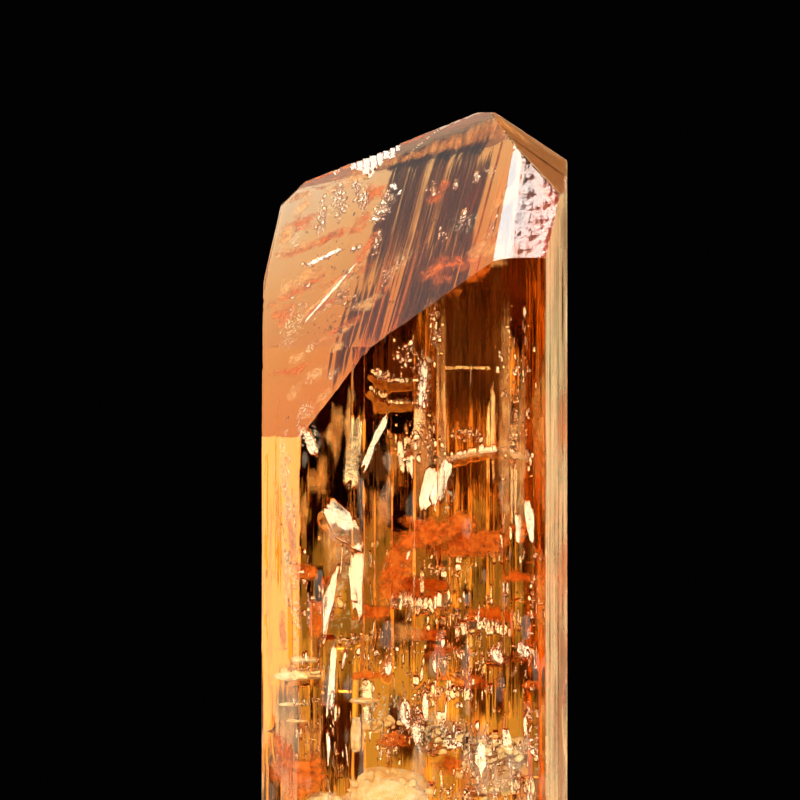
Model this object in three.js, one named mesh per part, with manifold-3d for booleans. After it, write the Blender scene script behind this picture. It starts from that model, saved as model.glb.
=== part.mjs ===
import * as THREE from "three";
import { mergeVertices } from "three/addons/utils/BufferGeometryUtils.js";
import Module from "manifold-3d";

// A rough crystal of orange topaz, standing on the flat break of its basal cleavage.
// Millimetres. +Z runs along the crystal to its tip, -Y is its front, and the origin is
// the middle of its foot. The crystal grew as one piece, so it is one solid.

const wasm = await Module();
wasm.setup();

// Driving dimensions.
const length = 33.0; // cleavage to tip
const width = 12.04; // side to side, X
const depth = 11.13; // front to back, Y

// The prism's section has a two-fold axis: these are the front half's corners, left to
// right, as shares of half the width and half the depth, and a half turn gives the rest.
const frontCorners = [
  [-1.0, -0.647],
  [-0.752, -0.887],
  [0.85, -1.0],
  [0.993, -0.322],
];
const frontWall = 1; // the wall from the second corner to the third

// Striations. Each wall is a run of strips along the crystal. A strip leans slowly in
// from the wall's own line to its depth and comes back out in a short riser.
const riser = 0.05; // mm along the wall that one riser takes
const frontStrips = [
  // width and depth in mm, left to right
  [0.5, 0.05],
  [0.42, 0.12],
  [0.55, 0.04],
  [0.63, 0.09],
  [0.45, 0.2],
  [0.42, 0.06],
  [0.68, 0.28],
  [0.85, 0.07],
  [0.52, 0.04],
  [0.4, 0.16],
  [0.39, 0.12],
  [0.38, 0.04],
  [0.52, 0.13],
  [0.67, 0.08],
  [0.25, 0.03],
  [0.38, 0.15],
  [0.35, 0.1],
  [0.67, 0.06],
  [0.34, 0.12],
  [0.25, 0.05],
];
const plainStrip = { width: [0.22, 0.6], depth: [0.02, 0.12] }; // mm, on the other walls

// Growth ridges: long low lozenges that stand between the striations.
const growthRidge = {
  perMm: 0.75, // along the wall
  middle: [3, 23], // mm, height of the ridge's middle
  halfLength: [1.6, 6],
  halfWidth: [0.1, 0.28],
  sunk: 0.09, // mm from the wall's line in to the ridge's own middle
};

// The faces of the tip. Bearing is the way a face looks, in degrees from the front,
// positive to the right. Slope is its tilt from level, and axis is the height in mm
// where its plane meets the crystal's own axis. The upper pyramid lies near 46 degrees
// and the lower one near 64, as topaz's do.
const tipFaces = {
  broadLeft: { bearing: -41.9, slope: 48.7, axis: 29.38 },
  steepLeft: { bearing: -41.9, slope: 63.8, axis: 33.8 },
  front: { bearing: -3.7, slope: 43.9, axis: 32.25 },
  frontBevel: { bearing: -14.1, slope: 44.2, axis: 31.49 },
  right: { bearing: 72.4, slope: 39.9, axis: 35.01 },
  back: { bearing: 176.3, slope: 47.5, axis: 35.5 },
  backLeft: { bearing: -102.9, slope: 47.6, axis: 36.19 },
};

// Growth terraces: where a face's outer layer stops short of a line across it.
const terraces = [
  { face: "broadLeft", step: 0.05, bearing: -125, out: 1.5 },
  { face: "broadLeft", step: 0.09, bearing: -112, out: 3.6 },
  { face: "back", step: 0.06, bearing: 118, out: 2.2 },
  { face: "right", step: 0.04, bearing: 20, out: 1.3 },
];

// Etch hillocks, low four-sided cones in loose rows on the small front face.
const hillock = {
  middle: [4.5, -3.75], // x and y
  rows: 7,
  columns: 5,
  pitch: 0.5,
  scatter: 0.3,
  radius: [0.3, 0.62],
  height: 0.07,
};

// The foot: slabs of the cleavage broken away from one side, and shell-shaped chips.
// Bearings are as for the faces, and out is the distance from the crystal's axis.
const cleavageSteps = [
  { bearing: 152, out: 4.4, height: 0.62 },
  { bearing: 128, out: 5.3, height: 1.15 },
  { bearing: -108, out: 5.35, height: 0.42 },
];
const footChips = [
  { bearing: 30, out: 7.3, up: -0.55, radii: [1.75, 1.75, 1.1] },
  { bearing: -62, out: 7.4, up: -0.3, radii: [1.5, 1.5, 1.2] },
  { bearing: 205, out: 7.2, up: 0.1, radii: [1.9, 1.9, 1.05] },
];

// Shallow hollows where slivers came away along the sides.
const sideHollows = [
  { bearing: -97, out: 6.72, up: 10.1, radii: [3.4, 0.9, 2.1] },
  { bearing: 78, out: 6.95, up: 9.3, radii: [2.2, 1.0, 2.9] },
];

// Small breaks on the ridge between the broad left face and the back.
const ridgeBreaks = [
  { x: -1.55, size: 0.62, sink: 0.1 },
  { x: -0.8, size: 0.4, sink: 0.07 },
  { x: -3.05, size: 0.36, sink: 0.06 },
];
const breakTurn = 38; // degrees that a break's floor is turned from level

const overrun = 6; // mm that cutters run past what they cut
const ballDetail = 5; // rings of facets on the balls that cut chips
const degrees = Math.PI / 180;
const upward = new THREE.Vector3(0, 0, 1);

// A repeatable source of numbers from 0 to 1.
function randomFrom(seed) {
  let state = seed;
  return () => {
    state = (state * 1664525 + 1013904223) % 4294967296;
    return state / 4294967296;
  };
}

function between([low, high], share) {
  return low + (high - low) * share;
}

// A closed three.js geometry as a solid that can be joined and cut.
function solidOf(geometry) {
  const bare = geometry.clone();
  bare.deleteAttribute("normal");
  bare.deleteAttribute("uv");
  const merged = mergeVertices(bare, 1e-5);
  return new wasm.Manifold(
    new wasm.Mesh({
      numProp: 3,
      vertProperties: merged.attributes.position.array,
      triVerts: new Uint32Array(merged.index.array),
    }),
  );
}

function geometryOf(solid) {
  const mesh = solid.getMesh();
  const geometry = new THREE.BufferGeometry();
  geometry.setAttribute("position", new THREE.BufferAttribute(mesh.vertProperties, 3));
  geometry.setIndex(new THREE.BufferAttribute(mesh.triVerts, 1));
  const flat = geometry.toNonIndexed();
  flat.computeVertexNormals();
  return flat;
}

function joined(solids) {
  return wasm.Manifold.union(solids);
}

// The level direction of a bearing.
function heading(bearing) {
  return new THREE.Vector3(Math.sin(bearing * degrees), -Math.cos(bearing * degrees), 0);
}

// The way a tip face looks.
function faceNormal({ bearing, slope }) {
  const normal = heading(bearing).multiplyScalar(Math.sin(slope * degrees));
  normal.z = Math.cos(slope * degrees);
  return normal;
}

// The height of a tip face's plane over a point of the plan.
function heightOn(face, x, y) {
  const normal = faceNormal(face);
  return face.axis - (normal.x * x + normal.y * y) / normal.z;
}

// The prism's walls in order round it, each from one corner to the next.
function walls() {
  const front = frontCorners.map(([x, y]) => new THREE.Vector2((x * width) / 2, (y * depth) / 2));
  const corners = [...front, ...front.map((corner) => corner.clone().negate())];
  return corners.map((from, i) => {
    const to = corners[(i + 1) % corners.length];
    const along = to.clone().sub(from).normalize();
    const inward = new THREE.Vector2(-along.y, along.x);
    return { from, along, inward, span: from.distanceTo(to) };
  });
}

// Strips for a wall that has none of its own.
function plainStrips(span, random) {
  const strips = [];
  let used = 0;
  while (used < span) {
    const wide = Math.min(between(plainStrip.width, random()), span - used);
    strips.push([wide, between(plainStrip.depth, random() ** 2)]);
    used += wide;
  }
  return strips;
}

// The points of one striated wall, from its first corner up to just before the next.
function wallPoints({ from, along, inward, span }, strips) {
  const total = strips.reduce((sum, [wide]) => sum + wide, 0);
  const points = [];
  let at = 0;
  for (const [wide, sunk] of strips) {
    const end = at + (wide / total) * span;
    const foot = from.clone().addScaledVector(along, end - riser);
    points.push(from.clone().addScaledVector(along, at));
    points.push(foot.addScaledVector(inward, sunk));
    at = end;
  }
  return points;
}

function prism() {
  const random = randomFrom(7);
  const points = walls().flatMap((wall, i) => {
    const strips = i === frontWall ? frontStrips : plainStrips(wall.span, random);
    return wallPoints(wall, strips);
  });
  const section = new THREE.Shape(points);
  return solidOf(new THREE.ExtrudeGeometry(section, { depth: length, bevelEnabled: false }));
}

// Growth ridges on all the walls.
function growthRidges() {
  const random = randomFrom(41);
  const { perMm, middle, halfLength, halfWidth, sunk } = growthRidge;
  const made = [];
  for (const { from, along, inward, span } of walls()) {
    const count = Math.round(span * perMm);
    for (let i = 0; i < count; i++) {
      const at = from.clone().addScaledVector(along, ((i + 0.2 + 0.6 * random()) / count) * span);
      at.addScaledVector(inward, sunk);
      const lozenge = new THREE.OctahedronGeometry(1);
      lozenge.scale(between(halfWidth, random()), sunk, between(halfLength, random()));
      lozenge.rotateZ(along.angle());
      lozenge.translate(at.x, at.y, between(middle, random()));
      made.push(solidOf(lozenge));
    }
  }
  return joined(made);
}

// Everything above one face of the tip.
function aboveFace(face) {
  const side = length + width + overrun;
  const block = new THREE.BoxGeometry(side, side, side);
  block.translate(0, 0, side / 2);
  block.applyQuaternion(new THREE.Quaternion().setFromUnitVectors(upward, faceNormal(face)));
  block.translate(0, 0, face.axis);
  return solidOf(block);
}

// An upright block over everything further out than a line across the plan.
function beyond({ bearing, out }, low, high) {
  const side = 2 * (width + depth);
  const block = new THREE.BoxGeometry(side, side, high - low);
  block.translate(0, -out - side / 2, (low + high) / 2);
  block.rotateZ(bearing * degrees);
  return solidOf(block);
}

// Everything under the level cleavage that the crystal stands on.
function belowFoot() {
  const block = new THREE.BoxGeometry(2 * width, 2 * depth, overrun);
  block.translate(0, 0, -overrun / 2);
  return solidOf(block);
}

// What a terrace takes off its face.
function terraceLoss(terrace) {
  const face = tipFaces[terrace.face];
  const lowered = { ...face, axis: face.axis - terrace.step / faceNormal(face).z };
  return aboveFace(lowered).intersect(beyond(terrace, 0, length + overrun));
}

// Etch hillocks on the small front face. Half of each cone is sunk in the face, so what
// shows is half as wide as the cone.
function hillocks() {
  const random = randomFrom(23);
  const face = tipFaces.front;
  const { middle, rows, columns, pitch, scatter, radius, height } = hillock;
  const made = [];
  for (let row = 0; row < rows; row++) {
    for (let column = 0; column < columns; column++) {
      const x = middle[0] + (column - (columns - 1) / 2) * pitch + (random() - 0.5) * scatter;
      const y = middle[1] + (row - (rows - 1) / 2) * pitch + (random() - 0.5) * scatter;
      const cone = new THREE.ConeGeometry(between(radius, random()), 2 * height, 4);
      cone.rotateX(90 * degrees);
      cone.applyQuaternion(new THREE.Quaternion().setFromUnitVectors(upward, faceNormal(face)));
      cone.translate(x, y, heightOn(face, x, y));
      made.push(solidOf(cone));
    }
  }
  return joined(made);
}

// A rounded cutter: a ball of its own width across, depth outwards and height.
function roundedCut({ bearing, out, up, radii }) {
  const ball = new THREE.IcosahedronGeometry(1, ballDetail);
  ball.scale(...radii);
  ball.translate(0, -out, up);
  ball.rotateZ(bearing * degrees);
  return solidOf(ball);
}

// A small box sunk corner-first into the ridge at the given x.
function ridgeBreak({ x, size, sink }) {
  const left = tipFaces.broadLeft;
  const back = tipFaces.back;
  // Both faces have one height along the ridge, which gives y for the x.
  const apart = (y) => heightOn(left, x, y) - heightOn(back, x, y);
  const y = -apart(0) / (apart(1) - apart(0));
  const block = new THREE.BoxGeometry(size, 1.6 * size, size);
  block.rotateY(breakTurn * degrees);
  block.translate(x, y, heightOn(left, x, y) + 0.7 * size - sink);
  return solidOf(block);
}

function crystalSolid() {
  const bar = prism();
  const { front, ...otherFaces } = tipFaces;
  const aboveOthers = joined(Object.values(otherFaces).map(aboveFace));
  const ridged = bar.add(growthRidges());
  const pointed = ridged.subtract(aboveFace(front)).add(hillocks().intersect(bar));
  return pointed.subtract(
    joined([
      aboveOthers,
      belowFoot(),
      ...terraces.map(terraceLoss),
      ...cleavageSteps.map((step) => beyond(step, -overrun, step.height)),
      ...footChips.map(roundedCut),
      ...sideHollows.map(roundedCut),
      ...ridgeBreaks.map(ridgeBreak),
    ]),
  );
}

function crystal() {
  const material = new THREE.MeshStandardMaterial({
    color: 0xd9772b,
    roughness: 0.08,
    metalness: 0,
    transparent: true,
    opacity: 0.6,
  });
  const mesh = new THREE.Mesh(geometryOf(crystalSolid()), material);
  mesh.name = "crystal";
  return mesh;
}

const topaz = new THREE.Group();
topaz.add(crystal());

export default topaz;
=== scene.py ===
import functools
import math

import bmesh
import bpy
import numpy as np
from mathutils import Matrix, Vector, geometry


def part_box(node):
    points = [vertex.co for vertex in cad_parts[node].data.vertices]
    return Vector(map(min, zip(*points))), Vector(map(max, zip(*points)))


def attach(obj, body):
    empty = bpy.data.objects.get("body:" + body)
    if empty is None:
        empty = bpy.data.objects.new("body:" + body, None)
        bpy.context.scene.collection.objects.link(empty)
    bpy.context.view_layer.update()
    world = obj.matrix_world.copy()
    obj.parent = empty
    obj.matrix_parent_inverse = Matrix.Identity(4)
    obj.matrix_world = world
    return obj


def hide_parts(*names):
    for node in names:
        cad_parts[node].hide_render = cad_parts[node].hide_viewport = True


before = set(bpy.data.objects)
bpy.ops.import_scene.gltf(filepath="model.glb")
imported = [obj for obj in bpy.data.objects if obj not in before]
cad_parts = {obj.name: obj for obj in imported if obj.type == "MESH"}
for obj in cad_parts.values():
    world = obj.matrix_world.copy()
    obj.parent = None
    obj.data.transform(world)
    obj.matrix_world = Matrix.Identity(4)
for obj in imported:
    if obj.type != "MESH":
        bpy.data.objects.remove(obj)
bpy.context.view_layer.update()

# A rough crystal of orange topaz. Lengths here are in millimetres, and objects get them
# in metres. +Z runs along the crystal, -Y is its front and its foot stands at the origin.

metresPerMm = 0.001
perMetre = 1 / metresPerMm  # over a size in mm, it is a pattern's scale
degrees = math.pi / 180
lowCorner, highCorner = (np.array(corner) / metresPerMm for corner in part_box("crystal"))
width, depth, length = highCorner - lowCorner


def linear(hexColour, alpha=1.0):
    # An sRGB hex colour as linear light.
    parts = [int(hexColour[i : i + 2], 16) / 255 for i in (1, 3, 5)]
    lit = [p / 12.92 if p <= 0.04045 else ((p + 0.055) / 1.055) ** 2.4 for p in parts]
    return (*lit, alpha)


def randomFrom(seed):
    # A repeatable source of numbers from 0 to 1.
    state = seed
    while True:
        state = (state * 1664525 + 1013904223) % 4294967296
        yield state / 4294967296


def between(limits, share):
    return limits[0] + (limits[1] - limits[0]) * share


def smooth(x):
    x = np.clip(x, 0.0, 1.0)
    return x * x * (3 - 2 * x)


noiseCells = 32  # the noise repeats after so many units


@functools.lru_cache(maxsize=None)
def noiseTable(seed):
    return np.random.default_rng(seed).random((noiseCells,) * 3) * 2 - 1


def softNoise(x, y, z, seed):
    # Smooth noise from -1 to 1, whose highs and lows are about a unit apart.
    table = noiseTable(seed)
    x, y, z = np.broadcast_arrays(x, y, z)
    cell = [np.floor(c).astype(int) for c in (x, y, z)]
    part = [smooth(c - f) for c, f in zip((x, y, z), cell)]
    total = np.zeros(x.shape)
    for i in (0, 1):
        for j in (0, 1):
            for k in (0, 1):
                weight = 1.0
                for step, share in zip((i, j, k), part):
                    weight = weight * (share if step else 1 - share)
                corner = [(c + step) % noiseCells for c, step in zip(cell, (i, j, k))]
                total = total + weight * table[tuple(corner)]
    return total


def waves(points, height, wide, seed):
    x, y, z = points.T / wide
    return height * softNoise(x, y, z, seed)


def heading(bearing):
    # The level way that a bearing looks: degrees from the front, positive to the right.
    return np.array([math.sin(bearing * degrees), -math.cos(bearing * degrees), 0.0])


def unit(vector):
    return np.asarray(vector, float) / np.linalg.norm(vector)


topazLook = {
    "ior": 1.62,  # topaz, along its length
    "absorbDensity": 340.0,  # per metre
    "absorbColour": (0.972, 0.67, 0.118, 1.0),
    "striaWidth": 0.09,  # mm across one stria of the bump
    "striaLength": 14.0,
    "etchWidth": 0.12,  # mm across one etch mark
}

form = {
    # Corners of the front half of the section, as shares of half the width and depth.
    "frontCorners": [(-1.0, -0.647), (-0.752, -0.887), (0.85, -1.0), (0.993, -0.322)],
    "frontWall": 1,
    "rightWall": 2,
    "riser": 0.05,  # how much of a wall one riser between two striations takes
    # Width and depth of the front wall's striations, left to right.
    "frontStrips": [
        (0.5, 0.05), (0.42, 0.12), (0.55, 0.04), (0.63, 0.09), (0.45, 0.2),
        (0.42, 0.06), (0.68, 0.28), (0.85, 0.07), (0.52, 0.04), (0.4, 0.16),
        (0.39, 0.12), (0.38, 0.04), (0.52, 0.13), (0.67, 0.08), (0.25, 0.03),
        (0.38, 0.15), (0.35, 0.1), (0.67, 0.06), (0.34, 0.12), (0.25, 0.05),
    ],
    # Risers of the front wall that are broader than the rest, by their strip.
    "broadRisers": {6: 0.08, 8: 0.12, 10: 0.1, 15: 0.08, 16: 0.13, 17: 0.07},
    "backWall": 5,
    # The back wall's striations, right to left seen from the front.
    "backStrips": [
        (0.3, 0.04), (0.26, 0.1), (0.34, 0.05), (0.22, 0.09), (0.4, 0.03), (0.3, 0.12),
        (0.25, 0.02), (0.36, 0.1), (0.28, 0.06), (0.3, 0.11), (0.42, 0.04), (0.24, 0.08),
        (0.5, 0.02), (0.62, 0.012), (0.8, 0.02), (0.55, 0.01), (0.9, 0.015), (0.76, 0.01),
        (0.6, 0.012), (0.94, 0.015),
    ],
    "calmUpper": 0.5,  # how much shallower the front wall's are in its upper half
    "calmFrom": 17,
    "calmWalls": {2: 0.35, 6: 0.3},  # walls whose striations are shallower, and by how much
    # How deep a striation is along its length: a base and waves, as how much, how long,
    # and the noise's place and seed.
    "swell": 0.32,
    "swellWaves": [(1.1, 3.2, 0.5, 11), (0.35, 0.9, 7.5, 14)],
    "plainWidth": (0.22, 0.6),  # the other walls' striations
    "plainDepth": (0.02, 0.12),
    "columnStep": 0.085,
    "leastGap": 0.0001,  # points nearer than this become one
    "rowStep": 0.34,
    # Growth ridges, long low lozenges between the striations.
    "ridgesPerMm": 0.75,
    "ridgeMiddle": (3, 23),
    "ridgeHalfLength": (1.6, 6),
    "ridgeHalfWidth": (0.1, 0.28),
    "ridgeSunk": 0.09,
    # Fine striae over everything.
    "striaePerMm": 9,
    "striaWidth": (0.035, 0.22),
    "striaDepth": (0.003, 0.022),
    "strongerStriae": {1: 2.4, 2: 1.5, 6: 0.5},  # on these walls, by how much
    "striaHalfLength": (1.5, 9),
    "undulation": 0.014,
    "cornerWear": 0.035,
    "cornerReach": 0.07,  # how far from a corner the wear goes
}

# The faces of the tip: bearing, slope from level, the height where the face's plane
# meets the crystal's axis, and the spacing of the mesh on it.
tipFaces = {
    "broadLeft": {"bearing": -41.9, "slope": 48.7, "axis": 29.38, "spacing": 0.17},
    "steepLeft": {"bearing": -41.9, "slope": 63.8, "axis": 33.8, "spacing": 0.17},
    "front": {"bearing": -3.7, "slope": 43.9, "axis": 32.25, "spacing": 0.065},
    "frontBevel": {"bearing": -14.1, "slope": 44.2, "axis": 31.49, "spacing": 0.1},
    "right": {"bearing": 72.4, "slope": 39.9, "axis": 35.01, "spacing": 0.15},
    "back": {"bearing": 176.3, "slope": 47.5, "axis": 35.5, "spacing": 0.065},
    "backLeft": {"bearing": -102.9, "slope": 47.6, "axis": 36.19, "spacing": 0.15},
}

# Edges of the tip that are worn to a hair-fine flat, and how deep.
wornEdges = [
    ("broadLeft", "back", 0.035),
    ("front", "right", 0.022),
    ("right", "back", 0.03),
    ("broadLeft", "right", 0.02),
    ("backLeft", "broadLeft", 0.025),
    ("backLeft", "back", 0.02),
]

# Growth terraces, where a face's outer layer stops short of a line across it.
terraces = [
    {"face": "broadLeft", "step": 0.012, "bearing": -125, "out": 1.5},
    {"face": "broadLeft", "step": 0.015, "bearing": -112, "out": 3.6},
    {"face": "back", "step": 0.06, "bearing": 118, "out": 2.2},
    {"face": "right", "step": 0.02, "bearing": 20, "out": 1.3},
]

# The back face of the tip is a flight of fine growth stairs.
stairs = {"seed": 6, "from": 23.3, "first": 0.12, "length": 6.0, "tread": (0.2, 0.6),
          "riser": 0.3, "flatter": 4, "wander": 0.12}

# Etch hillocks on the small front face, in loose rows, and finer ones between them.
hillock = {
    "middle": (4.5, -3.75), "rows": 7, "columns": 5, "pitch": 0.5, "scatter": 0.5,
    "radius": (0.4, 0.85), "height": 0.036,
    "fineCount": 60, "fineReach": (1.5, 2.2), "fineRadius": (0.12, 0.3), "fineSlope": 0.09,
}

foot = {
    # Slabs of the cleavage broken away from one side.
    "steps": [(152, 4.4, 0.62), (128, 5.3, 1.15), (-108, 5.35, 0.42)],
    "ledge": 0.012,  # how far a ledge slopes
}

# Rounded losses: bearing, distance out, height, and the cutter's three radii.
roundedCuts = [
    (30, 7.3, -0.55, (1.75, 1.75, 1.1)),
    (-62, 7.4, -0.3, (1.5, 1.5, 1.2)),
    (205, 7.2, 0.1, (1.9, 1.9, 1.05)),
    (-97, 6.72, 10.1, (3.4, 0.9, 2.1)),
    (78, 6.95, 9.3, (2.2, 1.0, 2.9)),
]

# A bite out of the ridge between the broad left face and the back, broken in facets that
# look up and forward: where each stands, how far it reaches to each side, how deep it
# goes and how far down the broad face.
ridgeChips = [(-2.42, 0.12, 0.08, 0.3), (-2.2, 0.14, 0.1, 0.55), (-1.94, 0.15, 0.1, 0.8),
              (-1.66, 0.15, 0.12, 0.75), (-1.4, 0.14, 0.1, 0.65), (-1.14, 0.15, 0.12, 0.45),
              (-0.9, 0.12, 0.09, 0.5), (-0.7, 0.1, 0.08, 0.25), (-3.1, 0.12, 0.07, 0.25)]
chipsLook = (-0.12, -0.685, 0.72)
ridgeRise = 0.397  # how much the ridge rises with each millimetre to the right
chipSpacing = 0.05
rowShare = 0.866  # rows of a triangular grid are nearer to each other than its points
otherSpacing = {"worn": 0.2, "tip": 0.12, "foot": 0.45}  # of the mesh on the other flats
edgeSteps = (0.4, 0.13)  # long edges are split twice
reliefFade = 0.12  # a face's own relief dies away this near its rim
# Waves of the tip's faces, as height, width and seed, and those of the front face alone.
faceWaves = [(0.004, 1.9, 21), (0.0006, 0.4, 22)]
frontWave = (0.004, 0.4, 25)
edgeShift = {"most": 0.012, "width": 0.16, "besideWall": 0.25, "from": 2.0, "seed": 31}


def faceNormal(name):
    face = tipFaces[name]
    normal = heading(face["bearing"]) * math.sin(face["slope"] * degrees)
    normal[2] = math.cos(face["slope"] * degrees)
    return normal


def facePlane(name):
    # A tip face as its normal and its distance from the origin.
    normal = faceNormal(name)
    return normal, normal[2] * tipFaces[name]["axis"]


def wallsOfSection():
    half = np.array([width, depth]) / 2
    front = [np.array(corner) * half for corner in form["frontCorners"]]
    corners = front + [-corner for corner in front]
    walls = []
    for i, start in enumerate(corners):
        reach = corners[(i + 1) % len(corners)] - start
        span = np.linalg.norm(reach)
        along = reach / span
        inward = np.array([-along[1], along[0]])
        walls.append({"start": start, "along": along, "inward": inward, "span": span})
    return walls


walls = wallsOfSection()


def stripsOfWalls():
    random = randomFrom(7)
    strips = []
    for i, wall in enumerate(walls):
        if i == form["frontWall"]:
            strips.append(form["frontStrips"])
            continue
        mine, used = [], 0.0
        calm = form["calmWalls"].get(i, 1.0)
        while used < wall["span"]:
            wide = min(between(form["plainWidth"], next(random)), wall["span"] - used)
            mine.append((wide, between(form["plainDepth"], next(random) ** 2) * calm))
            used += wide
        strips.append(form["backStrips"] if i == form["backWall"] else mine)
    return strips


def columnsOfWalls():
    # Where the mesh's columns stand: wall, place along it, strip, and how much of the
    # strip's depth each has.
    columns = []
    stripIndex = 0
    for i, strips in enumerate(stripsOfWalls()):
        stretch = walls[i]["span"] / sum(wide for wide, _ in strips)
        at = 0.0
        for k, (wide, sunk) in enumerate(strips):
            broad = form["broadRisers"].get(k) if i == form["frontWall"] else None
            run = wide * stretch - (broad or form["riser"])
            if run <= 0:
                run = wide * stretch * 0.5
            parts = max(1, math.ceil(run / form["columnStep"]))
            for j in range(parts + 1):
                columns.append((i, at + run * j / parts, stripIndex, sunk * j / parts))
            at += wide * stretch
            stripIndex += 1
    return columns


def rowHeights():
    top = length + 1.0
    rows = list(np.arange(0.0, top, form["rowStep"]))
    for _, _, height in foot["steps"]:
        rows = [z for z in rows if abs(z - height) > 0.08]
        rows += [height - foot["ledge"] / 2, height + foot["ledge"] / 2]
    return np.array(sorted(rows + [top]))


def fineStriae(wall, seed, along, heights):
    # Depth of the fine striae over one wall, for places along it and heights.
    rng = np.random.default_rng(seed)
    count = int(wall["span"] * form["striaePerMm"])
    middle = rng.uniform(-0.1, wall["span"] + 0.1, count)
    wide = between(form["striaWidth"], rng.random(count) ** 2)
    deep = between(form["striaDepth"], rng.random(count) ** 2)
    high = rng.uniform(-2, length + 1, count)
    halfLong = between(form["striaHalfLength"], rng.random(count) ** 1.6)
    off = (along[:, None] - middle) / wide
    section = np.where(off < 0, 1 + off, 1 - off / 3).clip(0, 1)
    taper = smooth((1 - np.abs(heights[:, None] - high) / halfLong) * 1.6)
    return taper @ (section * deep).T


def cutAway(points, bearing, out, up, radii):
    # Moves points that lie inside a rounded cutter to its inner side.
    turn = -bearing * degrees
    c, s = math.cos(turn), math.sin(turn)
    x = points[..., 0] * c - points[..., 1] * s
    y = points[..., 0] * s + points[..., 1] * c
    rest = 1 - (x / radii[0]) ** 2 - ((points[..., 2] - up) / radii[2]) ** 2
    inner = -out + radii[1] * np.sqrt(rest.clip(0))
    y = np.where((rest > 0) & (y < inner), inner, y)
    moved = points.copy()
    moved[..., 0] = x * c + y * s
    moved[..., 1] = -x * s + y * c
    return moved


def wallGrid():
    # The striated walls as rows of points, from the foot to above the tip.
    columns = columnsOfWalls()
    heights = rowHeights()
    grid = np.zeros((len(heights), len(columns), 3))
    wallOf = np.array([c[0] for c in columns])
    at = np.array([c[1] for c in columns])
    strip = np.array([c[2] for c in columns])
    sunk = np.array([c[3] for c in columns])
    z = heights[:, None]
    swell = form["swell"]
    for much, long, place, seed in form["swellWaves"]:
        swell = swell + much * softNoise(strip * 0.731, place, z / long, seed)
    calm = form["calmUpper"] * smooth((z - form["calmFrom"]) / 2)
    calmer = 1 - calm * (wallOf == form["frontWall"])
    inset = sunk * swell.clip(0.0, 1.0) * calmer
    random = randomFrom(41)
    for i, wall in enumerate(walls):
        mine = wallOf == i
        s = at[mine]
        stronger = form["strongerStriae"].get(i, 1.0)
        part = inset[:, mine] + stronger * fineStriae(wall, 100 + i, s, heights)
        around = s + 7.3 * i
        part = part + form["undulation"] * (1 + softNoise(around / 1.9, 3.5, z / 6.5, 12)) / 2
        # Growth ridges stand out to the wall's own line.
        count = math.floor(wall["span"] * form["ridgesPerMm"] + 0.5)
        for k in range(count):
            place = (k + 0.2 + 0.6 * next(random)) / count * wall["span"]
            halfWidth = between(form["ridgeHalfWidth"], next(random))
            halfLength = between(form["ridgeHalfLength"], next(random))
            middle = between(form["ridgeMiddle"], next(random))
            off = np.abs(s - place) / halfWidth + np.abs(z - middle) / halfLength
            part = np.where(off < 1, np.minimum(part, form["ridgeSunk"] * off), part)
        edge = np.minimum(s, wall["span"] - s)
        nicks = 0.6 + 0.4 * softNoise(around * 0.2, 8.5, z / 0.9, 13)
        part = part + form["cornerWear"] * np.exp(-((edge / form["cornerReach"]) ** 2)) * nicks
        plan = wall["start"] + s[:, None] * wall["along"]
        grid[:, mine, :2] = plan + part[..., None] * wall["inward"]
    grid[..., 2] = z
    for cut in roundedCuts:
        grid = cutAway(grid, *cut)
    for bearing, out, height in foot["steps"]:
        way = heading(bearing)
        over = (grid @ way - out).clip(0) * (grid[..., 2] < height)
        grid -= over[..., None] * way
    return grid


def gridMesh(grid):
    rows, columns, _ = grid.shape
    faces = []
    for r in range(rows - 1):
        for c in range(columns):
            n = (c + 1) % columns
            faces.append((r * columns + c, r * columns + n,
                          (r + 1) * columns + n, (r + 1) * columns + c))
    mesh = bpy.data.meshes.new("walls")
    mesh.from_pydata(grid.reshape(-1, 3), [], faces)
    bm = bmesh.new()
    bm.from_mesh(mesh)
    bpy.data.meshes.remove(mesh)
    return bm


kinds = ["wall", "tip", "foot", "worn", *tipFaces]


def closeLoops(bm, edges, kindLayer, kind):
    for face in bmesh.ops.edgeloop_fill(bm, edges=edges)["faces"]:
        face[kindLayer] = kinds.index(kind)


def cutBy(bm, kindLayer, kind, normal, distance):
    cut = bmesh.ops.bisect_plane(
        bm, geom=bm.verts[:] + bm.edges[:] + bm.faces[:], dist=1e-6,
        plane_co=Vector(normal * distance), plane_no=Vector(normal), clear_outer=True)
    rim = [e for e in cut["geom_cut"] if isinstance(e, bmesh.types.BMEdge)]
    if rim:
        closeLoops(bm, rim, kindLayer, kind)


def cutTip(bm, kindLayer):
    cutBy(bm, kindLayer, "tip", np.array([0.0, 0.0, 1.0]), length)
    for name in tipFaces:
        cutBy(bm, kindLayer, name, *facePlane(name))
    for one, other, deep in wornEdges:
        (normal1, far1), (normal2, far2) = facePlane(one), facePlane(other)
        size = np.linalg.norm(normal1 + normal2)
        cutBy(bm, kindLayer, "worn", (normal1 + normal2) / size, (far1 + far2) / size - deep)
    closeLoops(bm, [e for e in bm.edges if e.is_boundary], kindLayer, "foot")
    bmesh.ops.remove_doubles(bm, verts=bm.verts[:], dist=form["leastGap"])
    bmesh.ops.recalc_face_normals(bm, faces=bm.faces[:])


def ridgeAt(x):
    # The point of the ridge between the broad left face and the back that has this x.
    normal1, far1 = facePlane("broadLeft")
    normal2, far2 = facePlane("back")
    rows = np.array([normal1, normal2, [1.0, 0.0, 0.0]])
    return np.linalg.solve(rows, [far1, far2, x])


def nearChips(points):
    # Which points lie within reach of a chip.
    near = np.zeros(len(points), bool)
    for x, reach, _, drop in ridgeChips:
        off = points - ridgeAt(x)
        near |= (np.abs(off[:, 0]) < reach + 0.1) & (off[:, 1] > -drop - 0.3) & (off[:, 1] < 0.35)
    return near


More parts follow.
